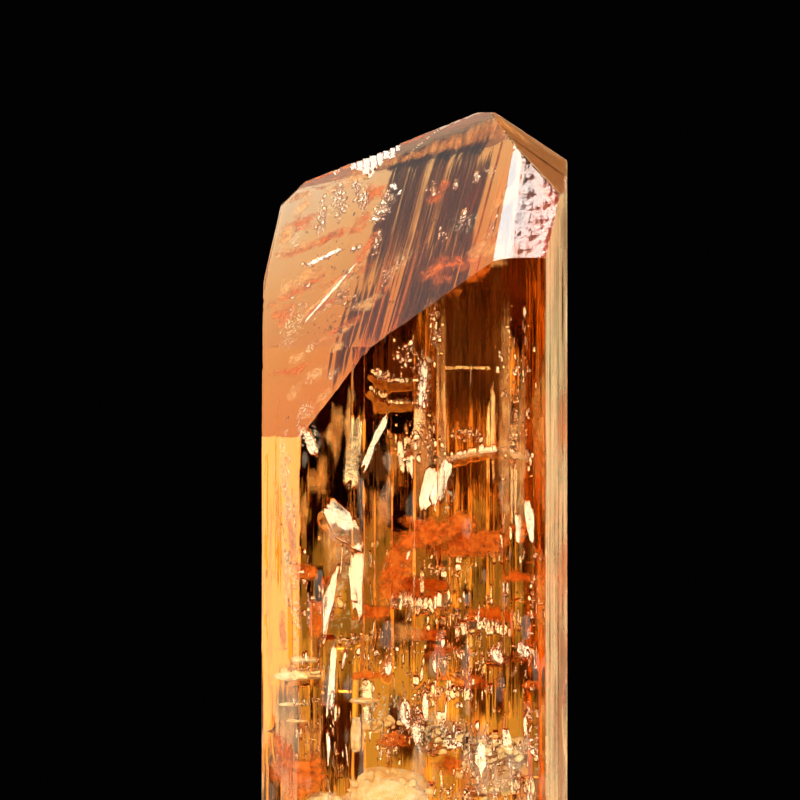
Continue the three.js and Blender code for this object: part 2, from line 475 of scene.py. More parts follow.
def splitLongEdges(bm, kindLayer, longest):
    # Edges between two flat faces get points, so that they can be worn unevenly.
    walled = kinds.index("wall")
    for edge in [e for e in bm.edges if all(f[kindLayer] != walled for f in e.link_faces)]:
        start = edge.verts[0]
        middle = np.array([(edge.verts[0].co + edge.verts[1].co) / 2])
        step = chipSpacing if nearChips(middle)[0] else longest
        pieces = math.ceil(edge.calc_length() / step)
        for k in range(pieces - 1):
            _, start = bmesh.utils.edge_split(edge, start, 1 / (pieces - k))


def insideOutline(points, outline):
    x, y = points[:, :1], points[:, 1:]
    x0, y0 = outline.T
    x1, y1 = np.roll(outline, -1, axis=0).T
    spans = (y0 > y) != (y1 > y)
    rise = np.where(y1 == y0, 1e-12, y1 - y0)
    crossing = x0 + (y - y0) * (x1 - x0) / rise
    return (spans & (x < crossing)).sum(1) % 2 == 1


def distanceTo(points, outline):
    start = outline
    reach = np.roll(outline, -1, axis=0) - outline
    off = points[:, None] - start
    share = ((off * reach).sum(2) / np.maximum((reach**2).sum(1), 1e-12)).clip(0, 1)
    return np.sqrt((((off - share[..., None] * reach) ** 2).sum(2)).min(1))


def hillockRelief(points):
    # Four-sided hillocks on the small front face, the broad ones first.
    random = randomFrom(23)
    face = tipFaces["front"]
    normal = faceNormal("front")
    across = unit(np.cross([0, 0, 1], normal))
    uphill = np.cross(normal, across)
    relief = np.zeros(len(points))
    rows, columns, pitch = hillock["rows"], hillock["columns"], hillock["pitch"]

    def add(x, y, radius, height, relief):
        z = face["axis"] - (normal[0] * x + normal[1] * y) / normal[2]
        off = points - np.array([x, y, z])
        near = np.abs(off @ across) + np.abs(off @ uphill)
        return np.maximum(relief, height * (1 - near / radius))

    for row in range(rows):
        for column in range(columns):
            shift = (next(random) - 0.5) * hillock["scatter"]
            x = hillock["middle"][0] + (column - (columns - 1) / 2) * pitch + shift
            shift = (next(random) - 0.5) * hillock["scatter"]
            y = hillock["middle"][1] + (row - (rows - 1) / 2) * pitch + shift
            radius = between(hillock["radius"], next(random)) / 2
            relief = add(x, y, radius, hillock["height"], relief)
    rng = np.random.default_rng(5)
    for _ in range(hillock["fineCount"]):
        x, y = hillock["middle"] + rng.uniform(-1, 1, 2) * hillock["fineReach"]
        radius = between(hillock["fineRadius"], rng.random())
        relief = add(x, y, radius, radius * hillock["fineSlope"], relief)
    return relief


def stairLevels():
    # Where the back face's stairs begin, measured down the face from the ridge.
    rng = np.random.default_rng(stairs["seed"])
    levels = [stairs["first"]]
    while levels[-1] < stairs["length"]:
        levels.append(levels[-1] + between(stairs["tread"], rng.random() ** 2))
    return np.array(levels)


def stairRelief(down, across):
    # Treads fall more gently than the face and risers stand almost upright.
    down = down + stairs["wander"] * softNoise(across / 1.1, 0.5, down / 2.0, 24)
    levels = stairLevels()
    at = np.searchsorted(levels, down) - 1
    inside = (at >= 0) & (at < len(levels) - 1)
    at = at.clip(0, len(levels) - 2)
    tread = levels[at + 1] - levels[at]
    share = (down - levels[at]) / tread
    riser = stairs["riser"]
    rise = np.where(share > riser, (share - riser) / (1 - riser), 1 - share / riser)
    slope = math.tan(stairs["flatter"] * degrees)
    return np.where(inside, tread * slope * (rise - 1), 0.0)


def faceRelief(name, points):
    # Height of a face's own relief above its plane.
    relief = sum(waves(points, *one) for one in faceWaves)
    for terrace in terraces:
        if terrace["face"] == name:
            beyond = points @ heading(terrace["bearing"]) - terrace["out"]
            relief -= terrace["step"] * smooth(beyond / 0.04)
    if name == "front":
        relief += hillockRelief(points) + waves(points, *frontWave)
    if name == "back":
        across = unit(np.cross([0, 0, 1], faceNormal(name)))
        downhill = np.cross(across, faceNormal(name))
        relief += stairRelief(points @ downhill + stairs["from"], points @ across)
    return relief


def scatter(low, high, spacing, rng):
    # A loose triangular grid of points over a rectangle.
    xs = np.arange(low[0], high[0] + spacing, spacing)
    ys = np.arange(low[1], high[1] + spacing, spacing * rowShare)
    gridX, gridY = np.meshgrid(xs, ys)
    gridX[1::2] += spacing / 2
    grid = np.stack([gridX.ravel(), gridY.ravel()], 1)
    return grid + rng.uniform(-0.2, 0.2, grid.shape) * spacing


def refineFace(bm, kindLayer, face, spacing, seed):
    # Gives a flat face a fine mesh of its own, with its relief.
    rim = list(face.verts)
    kind = face[kindLayer]
    normal = np.array(face.normal)
    across = unit(np.cross(normal, [0.3, 0.2, 1.0]))
    uphill = np.cross(normal, across)
    origin = np.array(rim[0].co)
    axes = np.array([across, uphill])
    outline = (np.array([v.co for v in rim]) - origin) @ axes.T
    low, high = outline.min(0), outline.max(0)
    rng = np.random.default_rng(seed)
    coarse = scatter(low, high, spacing, rng)
    fine = scatter(low, high, chipSpacing, rng)
    coarse = coarse[~nearChips(origin + coarse @ axes)]
    fine = fine[nearChips(origin + fine @ axes)]
    inner = np.vstack([coarse, fine])
    least = np.repeat([spacing * 0.5, chipSpacing * 0.5], [len(coarse), len(fine)])
    within = insideOutline(inner, outline)
    inner, least = inner[within], least[within]
    margin = distanceTo(inner, outline) if len(inner) else np.zeros(0)
    inner, margin = inner[margin > least], margin[margin > least]
    places = origin + inner @ axes
    relief = faceRelief(kinds[kind], places) * smooth(margin / reliefFade)
    places = places + relief[:, None] * normal
    count = len(rim)
    points, _, triangles, sources, _, _ = geometry.delaunay_2d_cdt(
        [Vector(p) for p in np.vstack([outline, inner])],
        [(i, (i + 1) % count) for i in range(count)], [], 1, 1e-7)
    if any(len(source) != 1 for source in sources):
        print(f"{kinds[kind]}: outline crosses itself, left as one face")
        return
    used = {}

    def vertOf(k):
        if k not in used:
            source = sources[k][0]
            used[k] = rim[source] if source < count else bm.verts.new(places[source - count])
        return used[k]

    bmesh.ops.delete(bm, geom=[face], context="FACES_ONLY")
    for triangle in triangles:
        made = bm.faces.new([vertOf(k) for k in triangle])
        made[kindLayer] = kind


def refineFaces(bm, kindLayer):
    flats = [f for f in bm.faces if f[kindLayer] != kinds.index("wall")]
    for seed, face in enumerate(flats):
        name = kinds[face[kindLayer]]
        spacing = otherSpacing.get(name) or tipFaces[name]["spacing"]
        refineFace(bm, kindLayer, face, spacing, seed)


def chipRidge(points):
    # Lays points near the ridge down on the flats of its chips.
    looks = unit(chipsLook)
    x, z = points[:, 0], points[:, 2]
    shell = waves(points, 0.006, 0.2, 33)
    rough = 0.5 + waves(points, 1, 0.25, 34)
    for middle, reach, deep, drop in ridgeChips:
        over = (points - ridgeAt(middle)) @ looks + deep + shell
        fall = (ridgeAt(middle)[2] - z) + ridgeRise * (x - middle)
        near = (np.abs(x - middle) <= reach) & (fall < drop * (0.8 + 0.3 * rough)) & (over < 0.4)
        points = points - (over.clip(0) * near)[:, None] * looks
    return points


def outerSurface():
    bm = gridMesh(wallGrid())
    kindLayer = bm.faces.layers.int.new("kind")
    cutTip(bm, kindLayer)
    for longest in edgeSteps:
        splitLongEdges(bm, kindLayer, longest)
    bm.normal_update()
    refineFaces(bm, kindLayer)
    bm.verts.index_update()
    leaks = sum(not e.is_manifold for e in bm.edges)
    points = np.array([v.co for v in bm.verts])
    faces = [[v.index for v in f.verts] for f in bm.faces]
    faceKinds = np.array([f[kindLayer] for f in bm.faces])
    bm.free()
    # Worn edges: points on edges between flats shift by a hair.
    touched = [set() for _ in points]
    for face, kind in zip(faces, faceKinds):
        for index in face:
            touched[index].add(kind)
    walled = kinds.index("wall")
    onEdge = np.array([(len(near) > 1) * (edgeShift["besideWall"] if walled in near else 1.0)
                       for near in touched])
    z = points[:, 2]
    shift = [waves(points, 1, edgeShift["width"], edgeShift["seed"] + k) for k in range(3)]
    high = smooth((z - edgeShift["from"]) / 2.0) * smooth((length - z) / 0.05)
    points += edgeShift["most"] * np.stack(shift, 1) * (onEdge * high)[:, None]
    points = chipRidge(points)
    print(f"outer surface: {len(points)} points, {len(faces)} faces, {leaks} open edges")
    return points, faces, faceKinds


outerPoints, outerFaces, outerKinds = outerSurface()


# A fracture is a hair-thin gap in the stone, whose walls mirror the light. Each follows
# a line across the crystal (x, z), starts at a depth (y), reaches back from there and
# rises or falls as it does (lean, in degrees). Waves and ragged ends are in mm. Hackles,
# where it has them, reach so far above it and below it.
fractures = [
    {"line": [(-1.7, 22.85), (-1.3, 22.6), (-0.95, 22.42), (0.15, 22.4)], "front": -3.9,
     "reach": 1.5, "lean": -16, "wave": 0.12, "ragged": 0.7, "hackle": (0.16, 0.1)},
    {"line": [(-1.75, 22.2), (-1.4, 21.95), (-1.05, 21.6), (0.15, 21.55)], "front": -3.7,
     "reach": 1.7, "lean": -14, "wave": 0.12, "ragged": 0.8, "hackle": (0.12, 0.1)},
    {"line": [(0.2, 21.7), (0.3, 22.3), (0.42, 22.95)], "front": -4.3,
     "reach": 0.8, "lean": 25, "wave": 0.08, "ragged": 0.3},
    {"line": [(1.3, 22.9), (2.1, 22.92), (3.0, 22.88)], "front": -2.5,
     "reach": 1.6, "lean": -5, "wave": 0.08, "ragged": 0.6, "hackle": (0.12, 0.05)},
    {"line": [(-1.1, 20.5), (-0.5, 20.2), (0.5, 20.25)], "front": -3.4,
     "reach": 1.5, "lean": -21, "wave": 0.3, "ragged": 0.9, "hackle": (0.1, 0.55)},
    {"line": [(0.42, 17.5), (0.55, 18.2), (0.95, 18.85), (1.45, 19.3), (2.5, 19.62),
              (3.7, 19.7), (4.6, 19.1)], "front": -4.2,
     "reach": 1.6, "lean": -14, "wave": 0.1, "ragged": 0.5, "hackle": (0.4, 0.15)},
    {"line": [(1.5, 19.15), (1.2, 18.6), (1.05, 18.0), (0.95, 17.5)], "front": -4.4,
     "reach": 0.7, "lean": 12, "wave": 0.12, "ragged": 0.3},
    {"line": [(3.9, 17.2), (4.02, 16.6), (4.15, 16.0)], "front": -4.3,
     "reach": 0.6, "lean": 30, "wave": 0.12, "ragged": 0.2},
    {"line": [(4.7, 17.6), (4.55, 16.8), (4.25, 16.0)], "front": -4.0,
     "reach": 0.7, "lean": 25, "wave": 0.12, "ragged": 0.2},
    {"line": [(-1.4, 20.9), (-1.6, 19.9), (-1.95, 18.8)], "front": -4.2,
     "reach": 0.5, "lean": 12, "wave": 0.12, "ragged": 0.2},
    {"line": [(-4.3, 20.6), (-4.0, 20.0), (-3.8, 19.4)], "front": -3.7,
     "reach": 0.6, "lean": 14, "wave": 0.15, "ragged": 0.2},
    {"line": [(-3.3, 17.6), (-2.9, 17.0), (-2.2, 16.3)], "front": -4.1,
     "reach": 1.1, "lean": -40, "wave": 0.25, "ragged": 0.4},
    {"line": [(-2.3, 16.3), (-2.5, 15.2), (-2.3, 14.2)], "front": -4.2,
     "reach": 0.7, "lean": 20, "wave": 0.2, "ragged": 0.3},
    {"line": [(-3.2, 15.3), (-3.4, 14.2), (-3.3, 13.1)], "front": -4.1,
     "reach": 0.7, "lean": 16, "wave": 0.2, "ragged": 0.3},
    {"line": [(3.0, 11.3), (3.25, 11.9), (3.5, 11.5)], "front": -4.4,
     "reach": 0.9, "lean": -35, "wave": 0.2, "ragged": 0.3},
    {"line": [(3.9, 11.7), (4.3, 12.1), (4.6, 11.8)], "front": -4.2,
     "reach": 0.8, "lean": -38, "wave": 0.2, "ragged": 0.3},
    {"line": [(-4.8, 10.9), (-4.2, 11.2), (-3.7, 10.8)], "front": -3.3,
     "reach": 1.8, "lean": -22, "wave": 0.3, "ragged": 0.6, "hackle": (0.1, 0.1)},
    {"line": [(-5.3, 8.9), (-4.4, 9.1), (-3.3, 8.8)], "front": -3.0,
     "reach": 2.0, "lean": -12, "wave": 0.2, "ragged": 0.6},
    {"line": [(0.0, 8.4), (0.8, 8.8), (1.7, 8.5)], "front": -4.2,
     "reach": 1.7, "lean": -28, "wave": 0.3, "ragged": 0.6, "hackle": (0.2, 0.5)},
    {"line": [(-1.0, 13.9), (0.2, 13.6), (1.4, 13.9)], "front": -4.0,
     "reach": 1.2, "lean": -15, "wave": 0.3, "ragged": 0.6, "hackle": (0.5, 0.5)},
    {"line": [(1.6, 12.6), (2.6, 12.9), (3.6, 12.5)], "front": -4.1,
     "reach": 1.3, "lean": 14, "wave": 0.3, "ragged": 0.6, "hackle": (0.5, 0.4)},
    {"line": [(1.8, 8.0), (2.9, 8.3), (4.2, 7.9)], "front": -4.2,
     "reach": 1.3, "lean": -18, "wave": 0.3, "ragged": 0.6, "hackle": (0.5, 0.9)},
    {"line": [(2.4, 6.8), (3.4, 7.0), (4.6, 6.6)], "front": -4.0,
     "reach": 1.3, "lean": 16, "wave": 0.3, "ragged": 0.6, "hackle": (0.5, 0.9)},
    {"line": [(0.2, 10.1), (1.2, 10.3), (2.3, 10.0)], "front": -3.8,
     "reach": 1.3, "lean": 20, "wave": 0.3, "ragged": 0.6, "hackle": (0.4, 0.4)},
]


def behind(face, places):
    return [(face, *place) for place in places]


# Small shallow ones lie near a surface and look out of it: x and z in the front view, how
# far behind the surface, half width, half height, turn, and wave as a share of the width.
shallowFractures = behind("broadLeft", [
    (-0.83, 30.1, 0.35, 0.32, 0.14, -38, 0.12), (-0.6, 29.85, 0.35, 0.1, 0.16, -8, 0.12),
    (-1.5, 28.85, 0.4, 0.26, 0.16, 0, 0.12), (-1.2, 29.2, 0.4, 0.1, 0.22, -20, 0.12),
    (-3.9, 27.15, 0.35, 0.42, 0.13, 24, 0.12), (-3.2, 27.5, 0.35, 0.36, 0.12, 26, 0.12),
    (2.5, 30.45, 0.4, 0.09, 0.1, 0, 0.12),
]) + behind("frontWall", [
    (0.33, 22.3, 0.6, 0.17, 0.9, -6, 0.12), (0.5, 18.2, 0.7, 0.3, 0.85, -16, 0.12),
    (1.0, 18.45, 0.65, 0.3, 0.95, -20, 0.12), (4.05, 16.6, 0.6, 0.12, 0.55, 3, 0.12),
    (4.5, 16.9, 0.6, 0.15, 0.75, 10, 0.12), (-2.8, 16.75, 0.6, 0.42, 1.1, 38, 0.4),
    (-2.35, 14.5, 0.9, 0.2, 1.4, 6, 0.4), (-3.35, 13.9, 0.7, 0.18, 1.5, -12, 0.4),
    (-3.5, 12.9, 0.9, 0.16, 0.8, -8, 0.12), (-1.62, 19.9, 0.5, 0.13, 1.1, -22, 0.12),
    (-2.4, 19.5, 1.6, 0.26, 1.3, -6, 0.5), (-4.1, 20.0, 0.5, 0.18, 0.6, 24, 0.12),
    (-3.25, 10.6, 0.7, 0.15, 1.6, -3, 0.5), (-1.8, 9.8, 1.2, 0.18, 1.0, 6, 0.12),
    (1.4, 8.2, 0.6, 0.4, 0.2, 0, 0.12), (1.1, 9.0, 0.9, 0.2, 0.5, 10, 0.12),
    (2.6, 7.6, 0.7, 0.22, 0.7, 0, 0.12), (3.7, 8.2, 0.7, 0.2, 0.5, 5, 0.12),
]) + behind("broadLeft", [
    (-3.3, 25.9, 0.6, 0.12, 1.9, -24, 0.12), (-3.6, 27.3, 0.5, 0.8, 0.09, 22, 0.12),
]) + behind("frontWall", [
    (0.25, 20.6, 1.8, 0.15, 1.7, -2, 0.5), (1.15, 20.6, 2.2, 0.13, 2.6, 0, 0.5),
    (3.1, 20.5, 2.6, 0.1, 2.4, 0, 0.5), (3.9, 19.0, 2.2, 0.12, 2.6, 0, 0.5),
    (-0.5, 19.4, 1.2, 0.13, 0.8, 4, 0.4), (-0.15, 19.0, 1.0, 0.15, 0.6, 8, 0.4),
    (-0.35, 9.3, 0.6, 0.2, 0.75, 6, 0.4), (0.05, 8.7, 0.6, 0.26, 0.5, -10, 0.4),
    (0.4, 9.6, 0.7, 0.14, 0.5, 0, 0.4), (3.25, 11.6, 0.6, 0.24, 0.3, 30, 0.12),
    (4.25, 11.9, 0.6, 0.34, 0.26, -20, 0.12),
])

gapThick = 0.016  # how far a fracture's walls stand apart
gapStep = {"along": 0.07, "across": 0.12}  # of its mesh
sliverThick = 0.012
# Hackles, short teeth in a row along a fracture, and the front wall's own y.
hackles = {"apart": 0.17, "halfWidth": (0.05, 0.13), "least": 0.09, "spread": 2.5, "wallAt": -5.1}

# Slivers, narrow upright fractures, crowd the lower half.
slivers = {"count": 260, "x": (-4.3, 4.9), "deep": (0.4, 3.6), "height": (2.5, 16.5),
           "halfWidth": (0.025, 0.1), "halfLength": (0.1, 0.7), "spread": 5.0, "seed": 57}

lampShare = {"broadLeft": 0.95, "frontWall": 0.85}  # of the small gaps, how many mirror a lamp
# The ways that gaps behind a face look, so that they mirror the lamps or the lit floor.
toLamp = {"broadLeft": (-0.316, -0.632, 0.708), "frontWall": (-0.11, -0.984, 0.142),
          "rightWall": (0.975, -0.222, 0.0)}
toFloor = {"broadLeft": (-0.317, -0.937, -0.142), "frontWall": (-0.1, -0.98, -0.17)}

# Smaller ones fill the lower half, where the stone is full of flaws.
flaws = {"count": 60, "x": (-3.8, 5), "y": (-4.6, 4.6), "height": (0.9, 16.5),
         "radius": (0.08, 0.28), "thick": 0.022, "tilt": 26, "seed": 77}

# Crazing, clouds of tiny gaps. Each has the face that it lies behind, x and z in the
# front view, its depth, half width, half height, turn and number of gaps.
crazing = behind("broadLeft", [
    (-3.66, 29.0, 0.4, 0.15, 0.75, -8, 90), (-3.0, 29.65, 0.4, 0.26, 0.8, 6, 130),
    (-2.3, 30.0, 0.35, 0.18, 0.4, 10, 70), (-2.0, 29.5, 0.4, 0.15, 0.5, -10, 70),
    (-1.34, 29.1, 0.4, 0.24, 0.5, -30, 100), (-1.1, 29.8, 0.4, 0.16, 0.4, 35, 24),
    (-1.5, 27.9, 0.5, 0.14, 0.5, -20, 22), (-2.3, 27.65, 0.5, 0.24, 0.1, 25, 16),
    (-3.6, 27.3, 0.4, 0.7, 0.1, 25, 50), (-1.2, 26.3, 0.6, 0.12, 0.8, -14, 20),
    (-2.7, 25.5, 0.8, 0.7, 0.7, -30, 36), (-4.5, 25.6, 0.6, 0.4, 1.2, -10, 20),
    (1.6, 30.1, 0.6, 0.1, 0.3, -14, 12), (2.4, 30.4, 0.4, 0.12, 0.25, 0, 14),
    (0.7, 29.9, 0.6, 0.3, 0.3, -14, 14), (1.9, 28.9, 0.5, 0.14, 0.3, -20, 16),
    (1.1, 28.2, 0.6, 0.2, 0.3, -20, 10), (3.0, 28.5, 0.5, 0.15, 0.5, -14, 12),
]) + behind("frontWall", [
    (1.35, 8.6, 0.6, 0.75, 0.6, 0, 130), (3.1, 7.4, 0.7, 1.4, 1.3, 0, 300),
    (1.6, 6.3, 0.8, 1.0, 0.7, 0, 60), (0.9, 5.0, 0.8, 2.4, 0.9, 0, 110),
    (-1.6, 11.5, 0.8, 1.2, 1.4, 0, 60), (1.8, 11.4, 0.8, 1.8, 1.4, 0, 140),
    (-3.9, 8.8, 0.6, 1.0, 1.2, 0, 30), (3.2, 11.8, 0.5, 0.3, 0.3, 20, 22),
    (4.2, 11.9, 0.5, 0.4, 0.3, -20, 28), (0.4, 10.3, 0.9, 0.6, 0.7, 0, 40),
    (2.2, 13.2, 0.9, 1.4, 0.9, 0, 80), (1.0, 15.0, 1.0, 1.6, 0.6, 0, 40),
    (0.2, 20.0, 0.8, 0.8, 0.9, 0, 110), (0.3, 22.2, 0.6, 0.25, 1.2, 0, 60),
    (2.2, 20.3, 0.8, 0.9, 0.3, 0, 50), (4.0, 22.0, 0.6, 0.7, 3.0, 0, 130),
    (0.8, 24.2, 0.7, 0.25, 1.6, 0, 50), (-0.4, 23.4, 0.6, 0.5, 0.6, 0, 40),
    (4.6, 14.0, 0.6, 0.4, 3.0, 0, 60), (-5.0, 17.5, 0.5, 0.4, 4.0, 0, 50),
    (-4.4, 14.0, 0.6, 0.5, 2.5, 0, 40), (-1.0, 8.2, 0.8, 0.5, 0.6, 0, 40),
    (0.0, 9.2, 0.5, 0.45, 0.9, 0, 90), (4.5, 9.0, 0.5, 0.3, 2.0, 0, 46),
    (-4.2, 11.4, 0.5, 0.5, 0.2, -20, 26), (-4.3, 9.9, 0.5, 0.6, 0.08, 0, 20),
    (-2.4, 12.3, 1.2, 0.8, 0.2, 8, 26), (-1.2, 22.6, 0.6, 0.5, 0.2, -20, 20),
    (-0.3, 12.0, 1.4, 1.4, 1.6, 0, 50),
])
tinyGap = {"halfWidth": {"broadLeft": (0.02, 0.14), "frontWall": (0.02, 0.095)},
           "halfLength": {"broadLeft": (0.03, 0.2), "frontWall": (0.04, 0.28)},
           "spread": {"broadLeft": 1.5, "frontWall": 5.0}, "seed": 83}

# Growth tubes: hair-fine hollows along the crystal.
tubes = {"count": 190, "x": (-5.2, 5.2), "y": (-4.8, 4.8), "height": (1.2, 20.0),
         "radius": (0.012, 0.055), "halfLength": (0.3, 2.4), "seed": 91}

# A bundle of them behind the broad left face darkens what it shows.
bundle = {"count": 80, "x": (0.3, 4.0), "y": (4.0, 4.8), "height": (17.0, 27.5),
          "radius": (0.02, 0.055), "halfLength": (1.5, 6.0), "seed": 19}

# How far inside the surface each kind of flaw stays at least.
skin = {"gap": 0.36, "sliver": 0.2, "film": 0.25, "lump": 0.3, "rim": 0.04}


def keepInside(points, margin):
    # Pulls points in until they lie a margin inside the crystal.
    points = points.copy()
    for _ in range(3):
        for wall in walls:
            room = (points[:, :2] - wall["start"]) @ wall["inward"]
            points[:, :2] += (margin - room).clip(0)[:, None] * wall["inward"]
        for name in tipFaces:
            normal, far = facePlane(name)
            over = points @ normal - (far - margin)
            points -= over.clip(0)[:, None] * normal
    points[:, 2] = points[:, 2].clip(margin, length - margin)
    return points


def turned(points, tiltX, tiltY, turnZ=0.0):
    turn = (Matrix.Rotation(turnZ * degrees, 3, "Z") @ Matrix.Rotation(tiltY * degrees, 3, "Y")
            @ Matrix.Rotation(-tiltX * degrees, 3, "X"))
    return points @ np.array(turn).T


def shellFrom(middle, half):
    # A thin closed shell from a grid of its middle and of half its thickness along Z,
    # which is nothing at the grid's rim.
    rows, columns, _ = middle.shape
    inner = [(i, j) for i in range(1, rows - 1) for j in range(1, columns - 1)]
    above = np.arange(rows * columns).reshape(rows, columns)
    below = above.copy()
    for k, (i, j) in enumerate(inner):
        below[i, j] = rows * columns + k
    lift = np.zeros_like(middle)
    lift[..., 2] = half
    lower = (middle - lift)[1:-1, 1:-1].reshape(-1, 3)
    points = np.vstack([(middle + lift).reshape(-1, 3), lower])
    faces = []
    for i in range(rows - 1):
        for j in range(columns - 1):
            square = [(i, j), (i + 1, j), (i + 1, j + 1), (i, j + 1)]
            faces.append(tuple(above[c] for c in square))
            faces.append(tuple(below[c] for c in reversed(square)))
    return points, faces


def along(line, shares):
    # Points at even shares of a line's length.
    line = np.array(line, float)
    run = np.concatenate([[0], np.cumsum(np.linalg.norm(np.diff(line, axis=0), axis=1))])
    at = shares * run[-1]
    return np.stack([np.interp(at, run, line[:, k]) for k in range(line.shape[1])], 1), run[-1]


def fractureShell(crack, seed):
    # A fracture's closed gap: it follows its line, and each side of it is ragged.
    _, longRun = along(crack["line"], np.zeros(1))
    count = max(10, int(longRun / gapStep["along"]))
    place, _ = along(crack["line"], np.linspace(0, 1, count))
    for _ in range(2):
        place[1:-1] = (place[:-2] + 2 * place[1:-1] + place[2:]) / 4
    tangent = np.gradient(place, axis=0)
    tangent /= np.linalg.norm(tangent, axis=1)[:, None]
    normal = np.stack([-tangent[:, 1], tangent[:, 0]], 1)
    normal *= np.where(normal[:, 1:] < 0, -1.0, 1.0)
    at = np.linspace(0, longRun, count)
    taper = np.sqrt(np.sin(np.pi * np.linspace(0.0, 1, count)).clip(0))
    front = crack["ragged"] * (softNoise(at / 0.35, 0.5, seed * 0.71, 45)
                               + 0.5 * softNoise(at / 0.12, 4.5, seed * 0.71, 46))
    back = crack["ragged"] * softNoise(at / 0.4, 9.5, seed * 0.71, 47)
    middle = crack["front"] + crack["reach"] / 2
    rows = max(8, int(crack["reach"] / gapStep["across"]))
    shares = np.linspace(-1, 1, rows)
    half = crack["reach"] / 2 + np.where(shares[:, None] < 0, front, back)
    y = middle + shares[:, None] * half.clip(0.08) * taper
    slant = math.tan(crack["lean"] * degrees)
    rise = (y - crack["front"]) * slant
    rise = rise + crack["wave"] * softNoise(at / 0.8, y / 0.9, seed * 0.37, 43)
    rise = rise + 0.25 * crack["wave"] * softNoise(at / 0.22, y / 0.5, seed * 0.37, 44)
    x = place[:, 0] + rise * normal[:, 0]
    z = place[:, 1] + rise * normal[:, 1]
    grid = np.stack([x, y, z], 2)
    body = np.sqrt(1 - shares**2)[:, None] * taper
    thick = np.zeros((rows, count))
    thick[1:-1, 1:-1] = gapThick * body[1:-1, 1:-1] + 0.004
    return shellFrom(grid, thick)


def lens(size, thick, wave, seed, rings, spokes, rough=1.0):
    # A thin closed lens about the origin, waved and with a ragged rim.
    angles = np.linspace(0, 2 * math.pi, spokes, endpoint=False)
    rim = 0.28 * softNoise(np.cos(angles) * 1.3, np.sin(angles) * 1.3, seed * 0.37, 41)
    rim += 0.12 * softNoise(np.cos(angles) * 4, np.sin(angles) * 4, seed * 0.61, 42)
    ragged = 1 + rough * rim
    shares = np.arange(1, rings + 1) / rings
    x = size[0] * np.outer(shares, ragged * np.cos(angles))
    y = size[1] * np.outer(shares, ragged * np.sin(angles))
    middle = wave * softNoise(x / 0.9 + seed, y / 1.3, seed * 0.17, 43)
    middle += 0.08 * wave * softNoise(x / 0.25 + seed, y / 0.9, seed * 0.29, 44)
    half = thick / 2 * np.sqrt(1 - shares**2)[:, None]
    centre = middle[0].mean()
    upper = np.stack([x, y, middle + half], 2)
    lower = np.stack([x, y, middle - half], 2)[:-1]
    points = np.vstack([upper.reshape(-1, 3), lower.reshape(-1, 3),
                        [[0, 0, centre + thick / 2], [0, 0, centre - thick / 2]]])
    topAt = len(points) - 2
    below = rings * spokes
    faces = []
    for j in range(spokes):
        n = (j + 1) % spokes
        faces.append((topAt, j, n))
        faces.append((topAt + 1, below + n, below + j))
        for i in range(rings - 1):
            faces.append((i * spokes + j, (i + 1) * spokes + j,
                          (i + 1) * spokes + n, i * spokes + n))
            # The lower side ends on the rim that both sides share.
            outer = (i + 1) * spokes + below if i + 1 < rings - 1 else (rings - 1) * spokes
            faces.append((below + i * spokes + n, outer + n, outer + j,
                          below + i * spokes + j))
    return points, faces


def facing(points, looks, turn):
    # Turns points from looking along +Z to looking along a given way.
    looks = unit(looks)
    across = unit(np.cross([0.0, 0.0, 1.0], looks) + [1e-9, 0, 0])
    up = np.cross(looks, across)
    c, s = math.cos(turn * degrees), math.sin(turn * degrees)
    first, second = across * c + up * s, up * c - across * s
    return points @ np.array([first, second, looks])


def seenThrough(face, x, z, deep):
    # The place that the front view shows at x, z through a face, so far behind it.
    if face in form:  # a wall of the prism
        wall = walls[form[face]]
        slope = wall["along"][1] / wall["along"][0]
        return np.array([x, wall["start"][1] + (x - wall["start"][0]) * slope + deep, z])
    normal, far = facePlane(face)
    y = (far - normal[0] * x - normal[2] * z) / normal[1]
    cosIn = -normal[1]
    bend = 1 / topazLook["ior"]
    inside = np.array([0.0, bend, 0.0])
    cosOut = math.sqrt(1 - bend**2 * (1 - cosIn**2))
    inside += (bend * cosIn - cosOut) * normal
    return np.array([x, y, z]) + inside / inside[1] * deep


def spindle(radius, halfLength, sides=6, rings=5):
    # A thin closed tube with pointed ends, along Z.
    heights = np.linspace(-1, 1, rings + 2)[1:-1]
    angles = np.linspace(0, 2 * math.pi, sides, endpoint=False)
    wide = radius * (1 - np.abs(heights) ** 4)
    points = [(w * math.cos(a), w * math.sin(a), h * halfLength)
              for h, w in zip(heights, wide) for a in angles]
    points += [(0, 0, -halfLength), (0, 0, halfLength)]
    bottom, top = len(points) - 2, len(points) - 1
    faces = []
    for j in range(sides):
        n = (j + 1) % sides
        faces.append((bottom, n, j))
        faces.append((top, (rings - 1) * sides + j, (rings - 1) * sides + n))
        for i in range(rings - 1):
            faces.append((i * sides + j, i * sides + n, (i + 1) * sides + n, (i + 1) * sides + j))
    return np.array(points, float), faces


def joinShells(shells):
    points, faces, base = [], [], 0
    for shellPoints, shellFaces in shells:
        points.append(shellPoints)
        faces += [tuple(i + base for i in face) for face in shellFaces]
        base += len(shellPoints)
    return np.vstack(points), faces


def sliver(face, x, z, deep, size, spread, rng, seed, rings=3, spokes=10):
    # One narrow gap behind a face, which looks forward and up, give or take.
    points, faces = lens(size, sliverThick, min(size) * 0.3, seed, rings, spokes)
    ways = toLamp if rng.random() < lampShare[face] else toFloor
    looks = np.array(ways[face]) + rng.normal(0, spread * degrees, 3)
    points = facing(points, looks, rng.normal(0, 6))
    return keepInside(points + seenThrough(face, x, z, deep), skin["sliver"]), faces


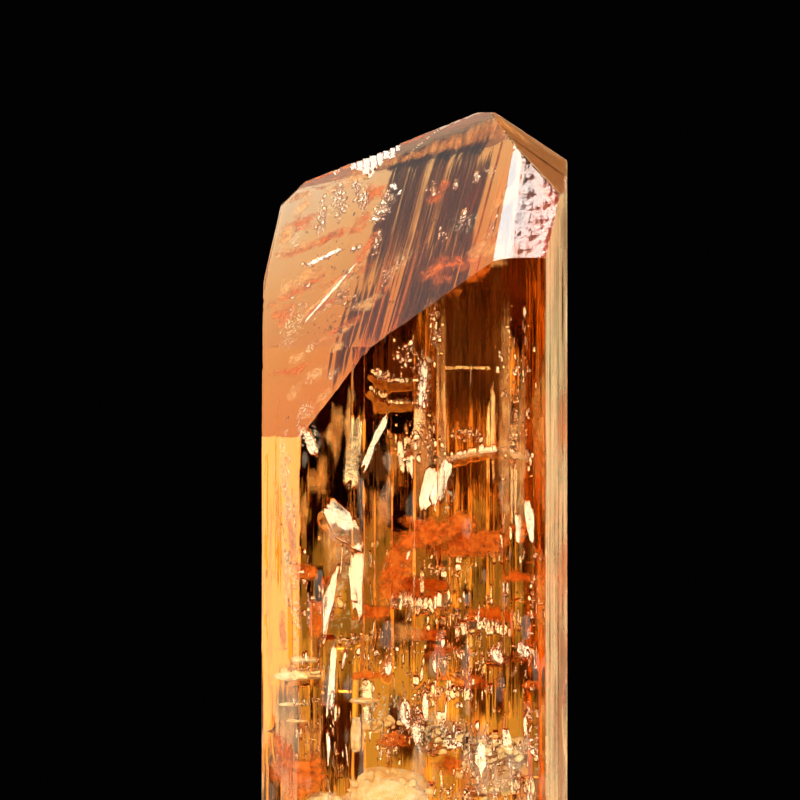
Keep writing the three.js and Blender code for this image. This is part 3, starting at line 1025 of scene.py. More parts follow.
def tinyGaps():
    # The crazing, its faces turned to look into the gaps.
    rng = np.random.default_rng(tinyGap["seed"])
    shells = []
    for face, x, z, deep, halfWidth, halfHeight, turn, count in crazing:
        c, s = math.cos(turn * degrees), math.sin(turn * degrees)
        for _ in range(count):
            side, up = rng.normal(0, 0.5, 2).clip(-1.2, 1.2) * (halfWidth, halfHeight)
            size = (between(tinyGap["halfWidth"][face], rng.random() ** 2),
                    between(tinyGap["halfLength"][face], rng.random() ** 2))
            place = (x + side * c - up * s, z + side * s + up * c)
            shells.append(sliver(face, *place, deep + rng.uniform(-0.15, 0.4), size,
                                 tinyGap["spread"][face], rng, 2000 + len(shells), 2, 8))
    points, faces = joinShells(shells)
    return points, [tuple(reversed(face)) for face in faces]


def hollows():
    # Every gap in the stone, its faces turned to look into the gap, away from the stone.
    shells = []
    for seed, crack in enumerate(fractures):
        points, faces = fractureShell(crack, seed + 1)
        shells.append((keepInside(points, skin["gap"]), faces))
    for k, (face, x, z, deep, halfWidth, halfHeight, turn, wave) in enumerate(shallowFractures):
        size = (halfWidth, halfHeight)
        points, faces = lens(size, gapThick, wave * halfWidth, 200 + k, 8, 28, 1.5)
        points = facing(points, toLamp[face], turn)
        shells.append((points + seenThrough(face, x, z, deep), faces))
    rng = np.random.default_rng(slivers["seed"])
    for k in range(slivers["count"]):
        x, z = (between(slivers[key], rng.random()) for key in ("x", "height"))
        deep = between(slivers["deep"], rng.random() ** 1.5)
        size = (between(slivers["halfWidth"], rng.random() ** 2),
                between(slivers["halfLength"], rng.random() ** 2))
        shells.append(sliver("frontWall", x, z, deep, size, slivers["spread"], rng, 300 + k))
    for crack in fractures:
        # Hackles stand in a row along a fracture, above and below it.
        if "hackle" not in crack:
            continue
        _, longRun = along(crack["line"], np.zeros(1))
        count = int(longRun / hackles["apart"])
        place, _ = along(crack["line"], (np.arange(count) + 0.5) / count)
        up, down = crack["hackle"]
        for k, (x, z) in enumerate(place):
            reach = rng.uniform(0.4, 1.0, 2) * (up, down)
            size = (rng.uniform(*hackles["halfWidth"]), max(reach.sum() / 2, hackles["least"]))
            z = z + (reach[0] - reach[1]) / 2
            deep = crack["front"] - hackles["wallAt"] + rng.uniform(-0.1, 0.3)
            shells.append(sliver("frontWall", x, z, max(deep, 0.4), size, hackles["spread"],
                                 rng, 900 + k))
    rng = np.random.default_rng(flaws["seed"])
    for k in range(flaws["count"]):
        radius = between(flaws["radius"], rng.random() ** 2)
        size = radius * np.array([1.0, rng.uniform(0.7, 1.5)])
        points, faces = lens(size, flaws["thick"], radius * 0.3, 50 + k, 6, 20)
        tilt = rng.normal(0, flaws["tilt"], 2)
        points = turned(points, *tilt, rng.uniform(0, 180))
        # More of them low in the crystal.
        z = between(flaws["height"], rng.random() ** 1.5)
        place = np.array([rng.uniform(*flaws["x"]), rng.uniform(*flaws["y"]), z])
        shells.append((keepInside(points + place, skin["gap"]), faces))
    rng = np.random.default_rng(tubes["seed"])
    for _ in range(tubes["count"]):
        radius = between(tubes["radius"], rng.random() ** 2)
        points, faces = spindle(radius, between(tubes["halfLength"], rng.random() ** 1.5))
        z = between(tubes["height"], rng.random() ** 1.4)
        place = np.array([rng.uniform(*tubes["x"]), rng.uniform(*tubes["y"]), z])
        shells.append((keepInside(points + place, skin["gap"]), faces))
    rng = np.random.default_rng(bundle["seed"])
    for _ in range(bundle["count"]):
        radius = between(bundle["radius"], rng.random() ** 2)
        points, faces = spindle(radius, between(bundle["halfLength"], rng.random()))
        place = [between(bundle[key], rng.random()) for key in ("x", "y", "height")]
        shells.append((keepInside(points + np.array(place), skin["gap"]), faces))
    points, faces = joinShells(shells)
    print(f"fractures and tubes: {len(shells)} hollows, {len(faces)} faces")
    return points, [tuple(reversed(face)) for face in faces]


hollowPoints, hollowFaces = hollows()


def meshObject(name, points, faces, material):
    mesh = bpy.data.meshes.new(name)
    mesh.from_pydata(np.asarray(points) * metresPerMm, [], faces)
    mesh.materials.append(material)
    mesh.shade_smooth()
    made = bpy.data.objects.new(name, mesh)
    bpy.context.scene.collection.objects.link(made)
    return made


def newMaterial(name):
    material = bpy.data.materials.new(name)
    material.use_nodes = True
    material.node_tree.nodes.clear()
    return material


def addNode(material, kind, settings=None, **links):
    # Adds a node: settings are its properties and, by name or number, its unlinked
    # inputs; links join its inputs to other nodes' outputs.
    tree = material.node_tree
    node = tree.nodes.new(kind)
    for key, value in (settings or {}).items():
        if isinstance(key, str) and hasattr(node, key):
            setattr(node, key, value)
        else:
            node.inputs[key].default_value = value
    for key, output in links.items():
        name = key.replace("_", " ")
        tree.links.new(output, node.inputs[int(name[2:]) if name[:2] == "in" else name])
    return node


def naturalTopaz():
    # Topaz with natural, unpolished faces: glassy, striated along the prism, frosted
    # where it is etched, and orange by the length of stone that light has crossed.
    material = newMaterial("topaz, natural striated faces")
    place = addNode(material, "ShaderNodeTexCoord").outputs["Object"]
    striated = addNode(material, "ShaderNodeAttribute", {"attribute_name": "striated"})
    etched = addNode(material, "ShaderNodeAttribute", {"attribute_name": "etched"})
    frosted = addNode(material, "ShaderNodeAttribute", {"attribute_name": "frosted"})
    stretched = addNode(material, "ShaderNodeMapping", {
        "Scale": (perMetre / topazLook["striaWidth"], perMetre / topazLook["striaWidth"],
                  perMetre / topazLook["striaLength"])}, Vector=place)
    striae = addNode(material, "ShaderNodeTexNoise", {"Scale": 1.0, "Detail": 3.0,
                     "Roughness": 0.6}, Vector=stretched.outputs["Vector"])
    marks = addNode(material, "ShaderNodeTexVoronoi", {"distance": "MANHATTAN",
                    "Scale": perMetre / topazLook["etchWidth"]}, Vector=place)
    grain = addNode(material, "ShaderNodeTexNoise", {"Scale": perMetre / 0.6, "Detail": 4.0},
                    Vector=place)
    striaBump = addNode(material, "ShaderNodeBump", {"Distance": 0.009 * metresPerMm},
                        Strength=striated.outputs["Fac"], Height=striae.outputs["Fac"])
    etchBump = addNode(material, "ShaderNodeBump", {"Distance": 0.02 * metresPerMm},
                       Strength=etched.outputs["Fac"], Height=marks.outputs["Distance"],
                       Normal=striaBump.outputs["Normal"])
    mottle = addNode(material, "ShaderNodeMath", {"operation": "MULTIPLY_ADD", 1: 0.04},
                     in0=grain.outputs["Fac"], in2=frosted.outputs["Fac"])
    surface = addNode(material, "ShaderNodeBsdfPrincipled", {
        "Base Color": (1.0, 0.985, 0.97, 1.0), "Transmission Weight": 1.0,
        "IOR": topazLook["ior"]},
        Roughness=mottle.outputs["Value"], Normal=etchBump.outputs["Normal"])
    stone = addNode(material, "ShaderNodeVolumeAbsorption", {
        "Color": topazLook["absorbColour"], "Density": topazLook["absorbDensity"]})
    addNode(material, "ShaderNodeOutputMaterial", None,
            Surface=surface.outputs["BSDF"], Volume=stone.outputs["Volume"])
    return material


def airGap():
    # The wall of a gap inside the stone: a glassy break with faint ripples, so that light
    # glances off it like silver. The faces look into the gap.
    material = newMaterial("topaz, fresh break round an air gap")
    place = addNode(material, "ShaderNodeTexCoord").outputs["Object"]
    ripples = addNode(material, "ShaderNodeTexNoise", {"Scale": perMetre / 0.3, "Detail": 3.0},
                      Vector=place)
    bump = addNode(material, "ShaderNodeBump", {"Distance": 0.005 * metresPerMm},
                   Height=ripples.outputs["Fac"])
    uneven = addNode(material, "ShaderNodeMapRange", {"To Min": 0.02, "To Max": 0.2},
                     Value=ripples.outputs["Fac"])
    surface = addNode(material, "ShaderNodeBsdfPrincipled", {
        "Base Color": (1.0, 1.0, 1.0, 1.0), "Transmission Weight": 1.0,
        "IOR": topazLook["ior"]},
        Roughness=uneven.outputs["Result"], Normal=bump.outputs["Normal"])
    addNode(material, "ShaderNodeOutputMaterial", None, Surface=surface.outputs["BSDF"])
    return material


crispAngle = {"walls": 55, "tip": 24}
# How strongly the walls' striae show, more so to the right of an x, how etched and how
# frosted the other faces are, and the frost in patches on the walls at the right.
finish = {
    "striated": 0.6, "rightStriated": 1.6, "rightFrom": 5.2,
    "etched": {"front": 0.2, "worn": 0.4, "back": 0.3, "right": 0.1},
    "frosted": {"front": 0.16, "worn": 0.1, "back": 0.6, "right": 0.1},
    "rightFrost": 0.14, "rightPatches": 0.5, "rightMost": 0.4,
}


def addMask(mesh, name, values):
    mesh.attributes.new(name, "FLOAT", "POINT").data.foreach_set("value", values)


def belongs(piece):
    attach(piece, "root")
    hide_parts("crystal")
    print(f"{piece.name}: {len(piece.data.vertices)} points, {len(piece.data.polygons)} faces")


def sharpenEdges(mesh):
    # Edges between faces of different kinds are crisp, as are steep ones within a kind.
    mesh.attributes.new("kind", "INT", "FACE").data.foreach_set("value", outerKinds)
    bm = bmesh.new()
    bm.from_mesh(mesh)
    kindLayer = bm.faces.layers.int["kind"]
    walled = kinds.index("wall")
    for edge in bm.edges:
        one, other = (face[kindLayer] for face in edge.link_faces)
        limit = crispAngle["walls" if one == other == walled else "tip"]
        edge.smooth = one == other and edge.calc_face_angle() < limit * degrees
    bm.to_mesh(mesh)
    bm.free()
    mesh.attributes.remove(mesh.attributes["kind"])


def makeCrystal():
    crystal = meshObject("topaz_crystal", outerPoints, outerFaces, naturalTopaz())
    sharpenEdges(crystal.data)
    striated = np.zeros(len(outerPoints), np.float32)
    etched = np.zeros(len(outerPoints), np.float32)
    frosted = np.zeros(len(outerPoints), np.float32)
    for face, kind in zip(outerFaces, outerKinds):
        name = kinds[kind]
        if name == "wall":
            x, y, z = outerPoints[face].T
            farRight = smooth((x - finish["rightFrom"]) / 0.3)
            striated[face] = finish["striated"] + finish["rightStriated"] * farRight
            patches = finish["rightPatches"] * softNoise(x / 0.4, y / 0.9, z / 1.9, 27)
            worn = (finish["rightFrost"] + patches).clip(0, finish["rightMost"])
            frosted[face] = farRight * worn
        if name in finish["etched"]:
            etched[face] = finish["etched"][name]
            frosted[face] = finish["frosted"][name]
    addMask(crystal.data, "striated", striated)
    addMask(crystal.data, "etched", etched)
    addMask(crystal.data, "frosted", frosted)
    belongs(crystal)


makeCrystal()
belongs(meshObject("fractures", hollowPoints, hollowFaces, airGap()))
belongs(meshObject("crazing", *tinyGaps(), airGap()))


# Iron-brown films, narrow and upright, in sheaves; the two in the upper middle are dark sheets of
# painted shade. Each sheaf has the x it starts and ends at, and the ranges of its depth, its tops
# and its bottoms.
brownSheavesAndShade = [
    (-0.2, 0.33, (4.45, 4.75), (31.3, 31.7), (22.5, 25.0)),
    (0.42, 1.33, (4.45, 4.75), (31.2, 31.6), (22.5, 25.0)),
    (1.72, 2.34, (4.45, 4.75), (31.0, 31.3), (22.5, 25.0)),
    (2.64, 3.14, (4.45, 4.75), (30.6, 31.0), (22.5, 25.0)),
    (3.75, 4.5, (4.45, 4.75), (29.6, 30.2), (22.5, 25.0)),
    # Painted shade: dark films that darken the upper middle of the stone.
    (0.9, 3.7, (0.5, 2.2), (26.6, 27.6), (19.9, 21.5)),
    (-1.4, 0.4, (1.5, 2.5), (24.0, 25.0), (20.4, 21.6)),
    (-2.7, -0.6, (-3.0, -2.0), (19.6, 20.8), (17.6, 19.0)),
    # Painted shade: dark films that darken the upper middle of the stone.
    (0.7, 3.8, (-1.2, 0.4), (24.5, 26.4), (20.2, 21.5)),
    (3.14, 3.7, (4.45, 4.75), (30.0, 30.6), (23.0, 26.0)),
    (-3.8, -1.9, (0.5, 1.5), (10.0, 11.4), (5.4, 7.0)),
    (-3.6, -2.0, (2.0, 2.6), (10.0, 11.4), (5.4, 7.0)),
    (2.2, 2.9, (0.0, 1.0), (11.0, 12.0), (8.0, 9.0)),
    (-5.6, -4.3, (0.0, 1.2), (8.6, 10.2), (1.5, 4.0)),
    (-0.9, 0.6, (0.0, 1.5), (9.0, 10.5), (7.0, 7.6)),
    (3.4, 4.9, (0.0, 1.5), (11.4, 13.0), (9.0, 10.0)),
    (0.6, 2.0, (1.5, 2.5), (12.5, 14.0), (10.4, 11.4)),
    (-1.7, -0.2, (0.5, 2.0), (13.0, 14.2), (10.4, 12.0)),
    (1.6, 3.6, (0.5, 2.0), (19.6, 19.9), (17.6, 18.4)),
]
# Their upper ends bend to follow the back face of the tip, between these x.
tipSheaves = [(-0.5, 0.33), (0.42, 1.4), (1.72, 2.34), (2.64, 3.8)]
tipSheavesEnd = 5.05  # the y of their lower ends
# Fainter ones fill in between, and brown specks lie in clouds: face, x, z, depth, half
# width, half height and how many.
faintSheaves = [(-0.4, 4.4, (4.2, 4.4), (30.5, 31.5), (22.5, 25.0))]
faintTip = [(-0.6, 3.9)]
uprightStep = (0.9, 1.6)  # from one upright film to the next, in its half widths
brownSpecks = behind("broadLeft", [
    (-2.8, 25.9, 0.7, 0.8, 1.0, 46), (-1.2, 26.0, 0.7, 0.6, 1.4, 40),
    (-3.2, 24.6, 0.8, 1.0, 0.5, 24), (1.2, 28.4, 0.8, 1.4, 1.4, 40),
    (-3.6, 28.0, 0.7, 1.2, 1.0, 24),
]) + behind("frontWall", [
    (1.5, 14.0, 0.9, 2.5, 1.5, 40),
])
speckSize = (0.03, 0.11)
speckSeed = 29
# Their dark colours are iron films, and in the upper middle painted shade.
brownFilmAndShade = {"name": "goethite film and painted shade, dull brown", "colours": ["#3E2817", "#62442C", "#7E5E44"],
             "grain": 0.4, "roughness": 0.7, "fade": (0.0, 0.7), "opacity": 0.84, "patchy": 1.6,
             "drawn": 9.0, "halfWidth": (0.04, 0.16), "thick": 0.02, "rings": 4, "spokes": 14,
             "faint": 0.4}

# Rusty stains: face that they lie behind, x, z, depth, half width, half height and turn.
rustStains = behind("frontWall", [
    (0.55, 16.5, 1.0, 1.3, 0.75, 0), (2.5, 16.1, 1.1, 1.6, 0.7, 4),
    (-0.9, 15.0, 0.9, 0.7, 1.5, -6), (1.5, 16.7, 0.9, 1.0, 0.5, 8), (1.6, 15.9, 1.3, 1.5, 0.5, 0),
    (-0.2, 16.1, 1.0, 0.9, 0.5, 14),
]) + behind("rightWall", [
    (5.45, 16.0, 0.5, 1.2, 1.4, 0), (5.5, 12.2, 0.5, 1.1, 2.0, 0), (5.4, 8.0, 0.5, 1.2, 2.2, 0),
    (5.6, 19.6, 0.6, 0.8, 1.2, 0),
]) + behind("frontWall", [
    (3.9, 16.6, 1.8, 0.7, 0.3, 20), (-0.6, 14.2, 1.8, 0.7, 0.9, 0),
    (-2.0, 10.9, 1.0, 0.75, 0.22, 4), (0.4, 12.5, 2.0, 0.8, 0.3, 0),
    (2.2, 10.6, 2.0, 0.8, 0.35, 0), (4.0, 14.8, 1.6, 0.6, 0.3, 0), (-4.1, 15.0, 1.2, 0.4, 0.35, 0),
    (0.3, 14.4, 2.8, 1.3, 0.5, 0), (-4.6, 7.0, 0.6, 1.3, 0.9, 0), (-5.3, 7.8, 0.5, 0.6, 0.9, 0),
    (-4.9, 16.3, 0.5, 0.2, 1.2, 0), (-5.4, 12.6, 0.5, 0.3, 0.8, 0), (2.9, 13.2, 2.6, 1.0, 0.4, 0),
    (-0.9, 8.3, 1.0, 0.9, 0.4, 0), (4.4, 10.5, 1.4, 0.5, 0.25, 0), (3.0, 6.4, 2.6, 1.4, 0.5, 0),
    (-2.6, 4.2, 2.0, 1.6, 0.7, 0), (1.2, 3.2, 2.4, 1.8, 0.6, 0), (-3.6, 13.2, 1.6, 0.6, 0.8, 0),
    (-1.6, 13.4, 1.4, 0.8, 0.4, 0), (1.1, 11.9, 1.2, 0.7, 0.3, 0), (5.2, 15.0, 1.0, 0.3, 1.0, 0),
    (5.3, 10.0, 1.0, 0.3, 2.4, 0), (5.2, 6.4, 1.0, 0.3, 1.4, 0), (1.4, 7.4, 1.4, 0.7, 0.5, 0),
])
# Fainter ones behind the broad left face.
faintStains = behind("broadLeft", [
    (-4.1, 27.8, 0.9, 1.9, 0.34, 20), (-2.6, 26.6, 1.1, 1.4, 0.3, 32),
    (-1.7, 29.8, 0.8, 0.6, 0.6, 0), (0.9, 29.8, 1.4, 0.6, 0.4, 60),
    (-4.6, 26.0, 1.0, 1.4, 0.3, 30), (-1.9, 27.6, 0.9, 0.3, 1.2, -10),
    (-3.0, 24.4, 1.0, 1.2, 0.3, 40), (-4.9, 23.0, 0.9, 0.9, 0.3, 10),
    (1.0, 26.8, 1.2, 0.9, 0.9, -14), (2.4, 27.4, 1.2, 0.5, 1.2, -14),
    (-4.5, 28.6, 1.2, 0.9, 0.6, 20), (-3.2, 28.2, 1.2, 0.7, 0.35, 24),
    (-2.2, 28.6, 1.0, 0.5, 0.8, -10), (-3.6, 25.4, 1.2, 1.1, 0.4, 30),
    (-5.2, 25.0, 1.0, 0.6, 0.8, 0),
])
# Their colours also paint the orange highlight along the ridge.
stainAndRimHighlight = {"name": "limonite stain and painted rim highlight, earthy orange", "colours": ["#CF5C12", "#E4721C", "#F0903A"],
             "grain": 0.4, "roughness": 0.9, "fade": (0.0, 1.1), "opacity": 0.85, "patchy": 2.4,
             "drawn": 1.0, "thick": 0.02, "rings": 8, "spokes": 28, "faint": 0.6}

# Painted highlight: orange film just under the ridge, standing for the light along it: the x of each
# stretch's middle, and half its length.
paintedRimHighlight = [(-4.2, 0.3), (-3.7, 0.5), (-3.3, 0.5), (-2.7, 0.3), (-0.3, 0.4), (0.2, 0.4)]

# Milky veils, healed fractures, placed in the same way; their white is partly painted reflection of
# the light off the fractures near them.
veilsAndReflections = behind("frontWall", [
    (-2.6, 16.2, 0.9, 0.8, 1.5, 22), (-3.1, 14.2, 0.9, 0.45, 1.9, -20),
    (-1.62, 19.9, 0.7, 0.24, 1.4, -22), (-2.45, 19.3, 1.2, 0.45, 1.7, -6),
    (-4.1, 20.1, 0.6, 0.45, 1.0, 20), (-3.25, 10.7, 0.8, 0.3, 2.0, -3),
    (-1.9, 9.8, 1.0, 0.35, 1.3, 8), (-2.6, 13.0, 1.1, 0.9, 0.45, 20),
    (1.3, 17.9, 1.0, 0.4, 1.3, -16), (0.9, 8.8, 1.0, 1.0, 1.0, 0), (3.4, 7.6, 1.2, 1.2, 1.5, 0),
    (-5.2, 18.5, 0.4, 0.5, 3.5, 0), (-4.8, 14.0, 0.5, 0.5, 3.0, 0), (-5.3, 15.5, 0.5, 0.3, 3.0, 0),
]) + behind("broadLeft", [
    (-3.3, 25.6, 0.7, 0.3, 2.4, -28), (-3.4, 29.2, 0.7, 0.8, 1.1, -10),
    (-1.4, 29.2, 0.7, 0.6, 1.1, -20), (-4.8, 28.0, 0.5, 0.6, 0.9, 0),
    (-4.9, 24.5, 0.8, 0.8, 1.6, 0), (3.0, 30.6, 0.6, 0.35, 0.8, 25), (1.9, 28.6, 0.6, 0.7, 0.7, 0),
    (-4.0, 22.8, 0.8, 0.8, 0.5, 30), (-4.1, 23.7, 0.8, 0.6, 0.3, 30),
    (-3.3, 22.9, 0.8, 0.5, 0.35, 40), (-0.6, 27.0, 0.8, 0.5, 1.2, -14),
    (-4.6, 21.6, 0.8, 0.5, 0.6, 0),
])
# White films: partly milky veils, partly painted reflection.
veilAndReflection = {"name": "healed fracture, milky film of fluid drops",
        "colours": ["#F0EEE8", "#FBF6EA", "#FFFFFF"], "grain": 0.16, "roughness": 0.6,
        "fade": (0.3, 1.5), "opacity": 0.8, "patchy": 3.0, "drawn": 6.0, "drops": 0.11,
        "halfWidth": (0.06, 0.22), "thick": 0.016, "rings": 8, "spokes": 24}

# Haze, healed fractures tinted by iron, whose pale films also paint a sheen over darker parts of the
# stone: some placed like the veils, and some upright in sheaves like the brown films.
hazeAndSheenPlaces = behind("broadLeft", [
    (-3.54, 25.8, 0.6, 0.2, 2.1, -25), (-4.6, 27.7, 0.7, 1.5, 0.3, 20),
    (-2.3, 30.5, 0.5, 1.0, 0.35, 24), (-4.4, 29.3, 0.6, 0.5, 0.9, -10),
    (-2.9, 24.4, 0.8, 1.2, 0.3, 35), (-2.3, 26.9, 0.8, 0.3, 1.6, -20),
    (-1.9, 25.4, 0.8, 0.9, 0.5, 30), (-5.0, 26.0, 0.7, 0.6, 0.7, 0),
    (-4.7, 23.3, 0.6, 0.5, 0.3, 10), (-4.0, 22.9, 0.6, 0.4, 0.3, -20),
    (-5.0, 22.2, 0.6, 0.4, 0.5, 0), (-3.9, 22.0, 0.7, 0.5, 0.25, 30),
    (-4.6, 21.3, 0.7, 0.5, 0.2, 0), (-3.1, 23.8, 0.7, 0.4, 0.3, 20),
    (2.6, 27.6, 0.9, 0.9, 0.9, -14), (3.4, 29.6, 0.8, 0.4, 1.2, -14),
    (-4.2, 26.6, 1.0, 1.0, 0.4, 22), (-5.2, 28.2, 0.9, 0.5, 0.9, 0),
    (-3.2, 30.0, 0.8, 0.7, 0.35, 20),
]) + behind("frontWall", [
    (-5.3, 18.6, 0.5, 0.25, 1.6, 0), (-5.1, 14.4, 0.5, 0.3, 1.8, 0),
    (-2.9, 15.6, 1.2, 0.9, 1.6, 14), (0.35, 19.6, 1.2, 0.28, 2.6, 0),
    (1.15, 22.0, 1.2, 0.24, 3.6, 0), (3.6, 21.0, 1.0, 0.28, 4.2, 0),
    (4.2, 19.4, 0.9, 0.22, 3.8, 0), (-5.7, 17.0, 0.4, 0.15, 2.6, 0),
    (2.0, 19.5, 0.6, 1.3, 0.14, 8), (3.9, 19.5, 0.6, 0.8, 0.12, -16),
    (-2.6, 20.6, 1.2, 0.22, 1.5, 0), (-3.1, 20.3, 1.8, 0.5, 1.5, 0),
    (-3.7, 18.6, 2.0, 0.45, 1.4, 0), (-4.3, 17.2, 1.4, 0.3, 1.2, 0),
    (-0.9, 18.9, 2.2, 0.4, 1.3, 0), (-1.5, 17.2, 2.4, 0.4, 1.2, 0), (1.3, 8.9, 0.9, 0.9, 0.7, 0),
    (3.2, 7.5, 0.9, 1.3, 1.2, 0), (-0.3, 12.6, 1.2, 0.8, 0.5, 0),
])
hazeSheaves = [(4.7, 5.4, (-3.9, -2.9), (23.0, 27.0), (17.0, 20.0)),
               (4.8, 5.4, (-3.7, -2.9), (14.0, 18.0), (9.0, 12.0)),
               (4.6, 5.4, (-3.7, -2.9), (8.0, 12.0), (4.0, 6.0)),
               (-5.4, -3.9, (-3.8, -3.0), (9.0, 10.4), (6.2, 7.6))]
# White ones stand low in the crystal.
veilSheaves = [(1.9, 4.6, (-4.8, -4.2), (8.5, 9.5), (6.4, 7.6)),
               (0.0, 2.2, (-4.8, -4.3), (8.8, 9.5), (7.4, 8.3)),
               (-1.9, -0.4, (-4.6, -4.2), (10.0, 10.6), (8.4, 9.4)),
               (-1.6, 4.4, (-4.4, -3.4), (6.0, 7.0), (3.5, 5.5)),
               (0.2, 0.5, (-4.4, -4.0), (23.6, 24.4), (20.0, 21.0)),
               (0.1, 1.2, (-4.2, -3.8), (20.3, 20.9), (18.4, 19.2))]
# More of it stands under the ridge, between these x, down to a slanting line.
hazeTips = [(-5.2, 4.4), (-5.0, 4.2)]
hazeEnd = {"height": 29.9, "rise": 0.376, "from": 5.3}
# Its pale colours stand for iron-tinted haze, and in part paint a sheen over darker parts of the
# stone.
haze = {"name": "healed fracture, haze tinted by iron, partly painted sheen", "colours": ["#E0965A", "#F4BC80", "#FFE0B0"],
        "grain": 0.3, "roughness": 0.8, "fade": (0.0, 1.5), "opacity": 0.6, "patchy": 1.6,
        "drawn": 3.0, "halfWidth": (0.15, 0.4), "thick": 0.016, "rings": 6, "spokes": 20}

# Chalky flakes in clusters: face, x, z, depth, half width, half height and how many.
chalkClusters = behind("frontWall", [
    (-0.95, 6.3, 0.7, 1.7, 0.8, 80), (-3.55, 5.9, 0.7, 0.6, 0.35, 36),
    (-4.3, 10.9, 0.6, 0.85, 0.16, 12), (0.75, 8.65, 0.8, 0.9, 0.5, 34),
    (3.0, 7.4, 0.9, 1.5, 1.4, 44), (-1.3, 9.0, 1.0, 0.8, 0.16, 30),
    (-2.2, 12.3, 1.4, 0.8, 0.2, 10), (-0.5, 4.4, 1.2, 3.0, 0.7, 70), (1.2, 8.3, 0.5, 0.9, 0.5, 20),
    (3.3, 7.9, 0.5, 1.3, 0.6, 30),
])
# Chalky lumps under the flakes: place and radii.
chalkLumps = [((-0.95, -3.6, 6.0), (1.6, 1.2, 1.15)), ((-3.6, -3.7, 5.9), (0.6, 0.6, 0.4)),
              ((0.9, -3.7, 8.6), (0.5, 0.5, 0.35)), ((3.2, -3.8, 6.9), (0.5, 0.5, 0.7)),
              ((2.6, -3.6, 8.2), (0.6, 0.6, 0.4)), ((4.0, -3.9, 7.9), (0.4, 0.5, 0.6)),
              ((-4.6, -4.0, 10.85), (1.0, 0.3, 0.16)), ((-4.3, -4.3, 11.5), (0.45, 0.25, 0.15)),
              ((-4.7, -4.0, 9.75), (0.6, 0.25, 0.08)), ((-4.6, -4.1, 9.1), (0.3, 0.2, 0.07)),
              ((-2.0, -4.2, 9.9), (0.6, 0.25, 0.12)), ((-2.3, -4.2, 8.6), (0.2, 0.25, 0.7))]

chalk = {"name": "kaolin flakes, chalky", "colours": ["#FFD084", "#FFE8B4", "#FFF8E4"],
         "grain": 0.25, "drawn": 1.0, "roughness": 0.9, "fade": None,
         "radius": (0.07, 0.24), "thick": 0.07, "rings": 4, "spokes": 12, "seed": 71}


def filmBody(look):
    # How full a film is at each of a lens's points: nothing at its rim.
    shares = np.arange(1, look["rings"] + 1) / look["rings"]
    full = np.repeat(1 - shares**2, look["spokes"])
    return np.concatenate([full, full[: -look["spokes"]], [1.0, 1.0]]).astype(np.float32)


def film(look, place, size, looks, turn, wave, seed, rough=1.0):
    points, faces = lens(size, look["thick"], wave, seed, look["rings"], look["spokes"], rough)
    return keepInside(facing(points, looks, turn) + place, skin["film"]), faces


def upright(look, low, high, rng, spanAt, looks, seed):
    # Narrow films side by side from one x to another. spanAt gives each one's two ends.
    shells = []
    x = low
    while x < high:
        half = between(look["halfWidth"], rng.random() ** 1.5)
        top, bottom = spanAt(x + half * 0.7)
        size = (half, np.linalg.norm(top - bottom) / 2)
        shells.append(film(look, (top + bottom) / 2, size, looks, rng.normal(0, 0.3), 0.02,
                           seed + len(shells)))
        x += half * rng.uniform(*uprightStep)
    return shells


def sheavesOf(look, sheaves, tips, seed):
    rng = np.random.default_rng(seed)
    shells = []
    for low, high, depths, tops, bottoms in sheaves:
        def spanAt(x):
            y = between(depths, rng.random())
            return (np.array([x, y, between(tops, rng.random())]),
                    np.array([x, y, between(bottoms, rng.random())]))

        shells += upright(look, low, high, rng, spanAt, (0, -1, 0), 500 + len(shells))
    normal, far = facePlane("back")
    for low, high in tips:
        def downTheBack(x):
            ends = []
            for y in (ridgeAt(x)[1] + rng.uniform(0.25, 0.6), tipSheavesEnd):
                z = (far - 0.28 - normal[0] * x - normal[1] * y) / normal[2]
                ends.append(np.array([x, y, z]))
            return ends

        shells += upright(look, low, high, rng, downTheBack, -normal, 700 + len(shells))
    return shells


def hazeBehindRidge(tips, seed):
    # Upright haze under the ridge, in front of the back face.
    rng = np.random.default_rng(seed)
    normal, far = facePlane("back")
    shells = []
    for low, high in tips:
        def spanAt(x):
            y = ridgeAt(x)[1] + rng.uniform(0.2, 0.9)
            top = (far - 0.2 - normal[0] * x - normal[1] * y) / normal[2]
            bottom = hazeEnd["height"] + hazeEnd["rise"] * (hazeEnd["from"] - y)
            return np.array([x, y, top]), np.array([x, y, bottom])

        shells += upright(haze, low, high, rng, spanAt, (0, -1, 0), 800 + len(shells))
    return shells


def brownFlecks():
    rng = np.random.default_rng(speckSeed)
    shells = []
    for face, x, z, deep, halfWidth, halfHeight, count in brownSpecks:
        for _ in range(count):
            off = rng.normal(0, 0.5, 2).clip(-1, 1) * (halfWidth, halfHeight)
            half = between(speckSize, rng.random() ** 2)
            place = seenThrough(face, x + off[0], z + off[1], deep + rng.uniform(-0.2, 0.3))
            looks = (rng.normal(0, 0.5), -1.0, rng.normal(0, 0.5))
            shells.append(film(brownFilmAndShade, place, (half, half * rng.uniform(0.8, 2.5)), looks,
                               rng.normal(-14, 20), 0.02, 900 + len(shells), 2.0))
    return shells


def films(look, places, seed):
    # One film for each place: face, x, z, depth, half width, half height and turn.
    return [film(look, seenThrough(face, x, z, deep), (halfWidth, halfHeight), toLamp[face],
                 turn, 0.25, seed + k, 1.7)
            for k, (face, x, z, deep, halfWidth, halfHeight, turn) in enumerate(places)]


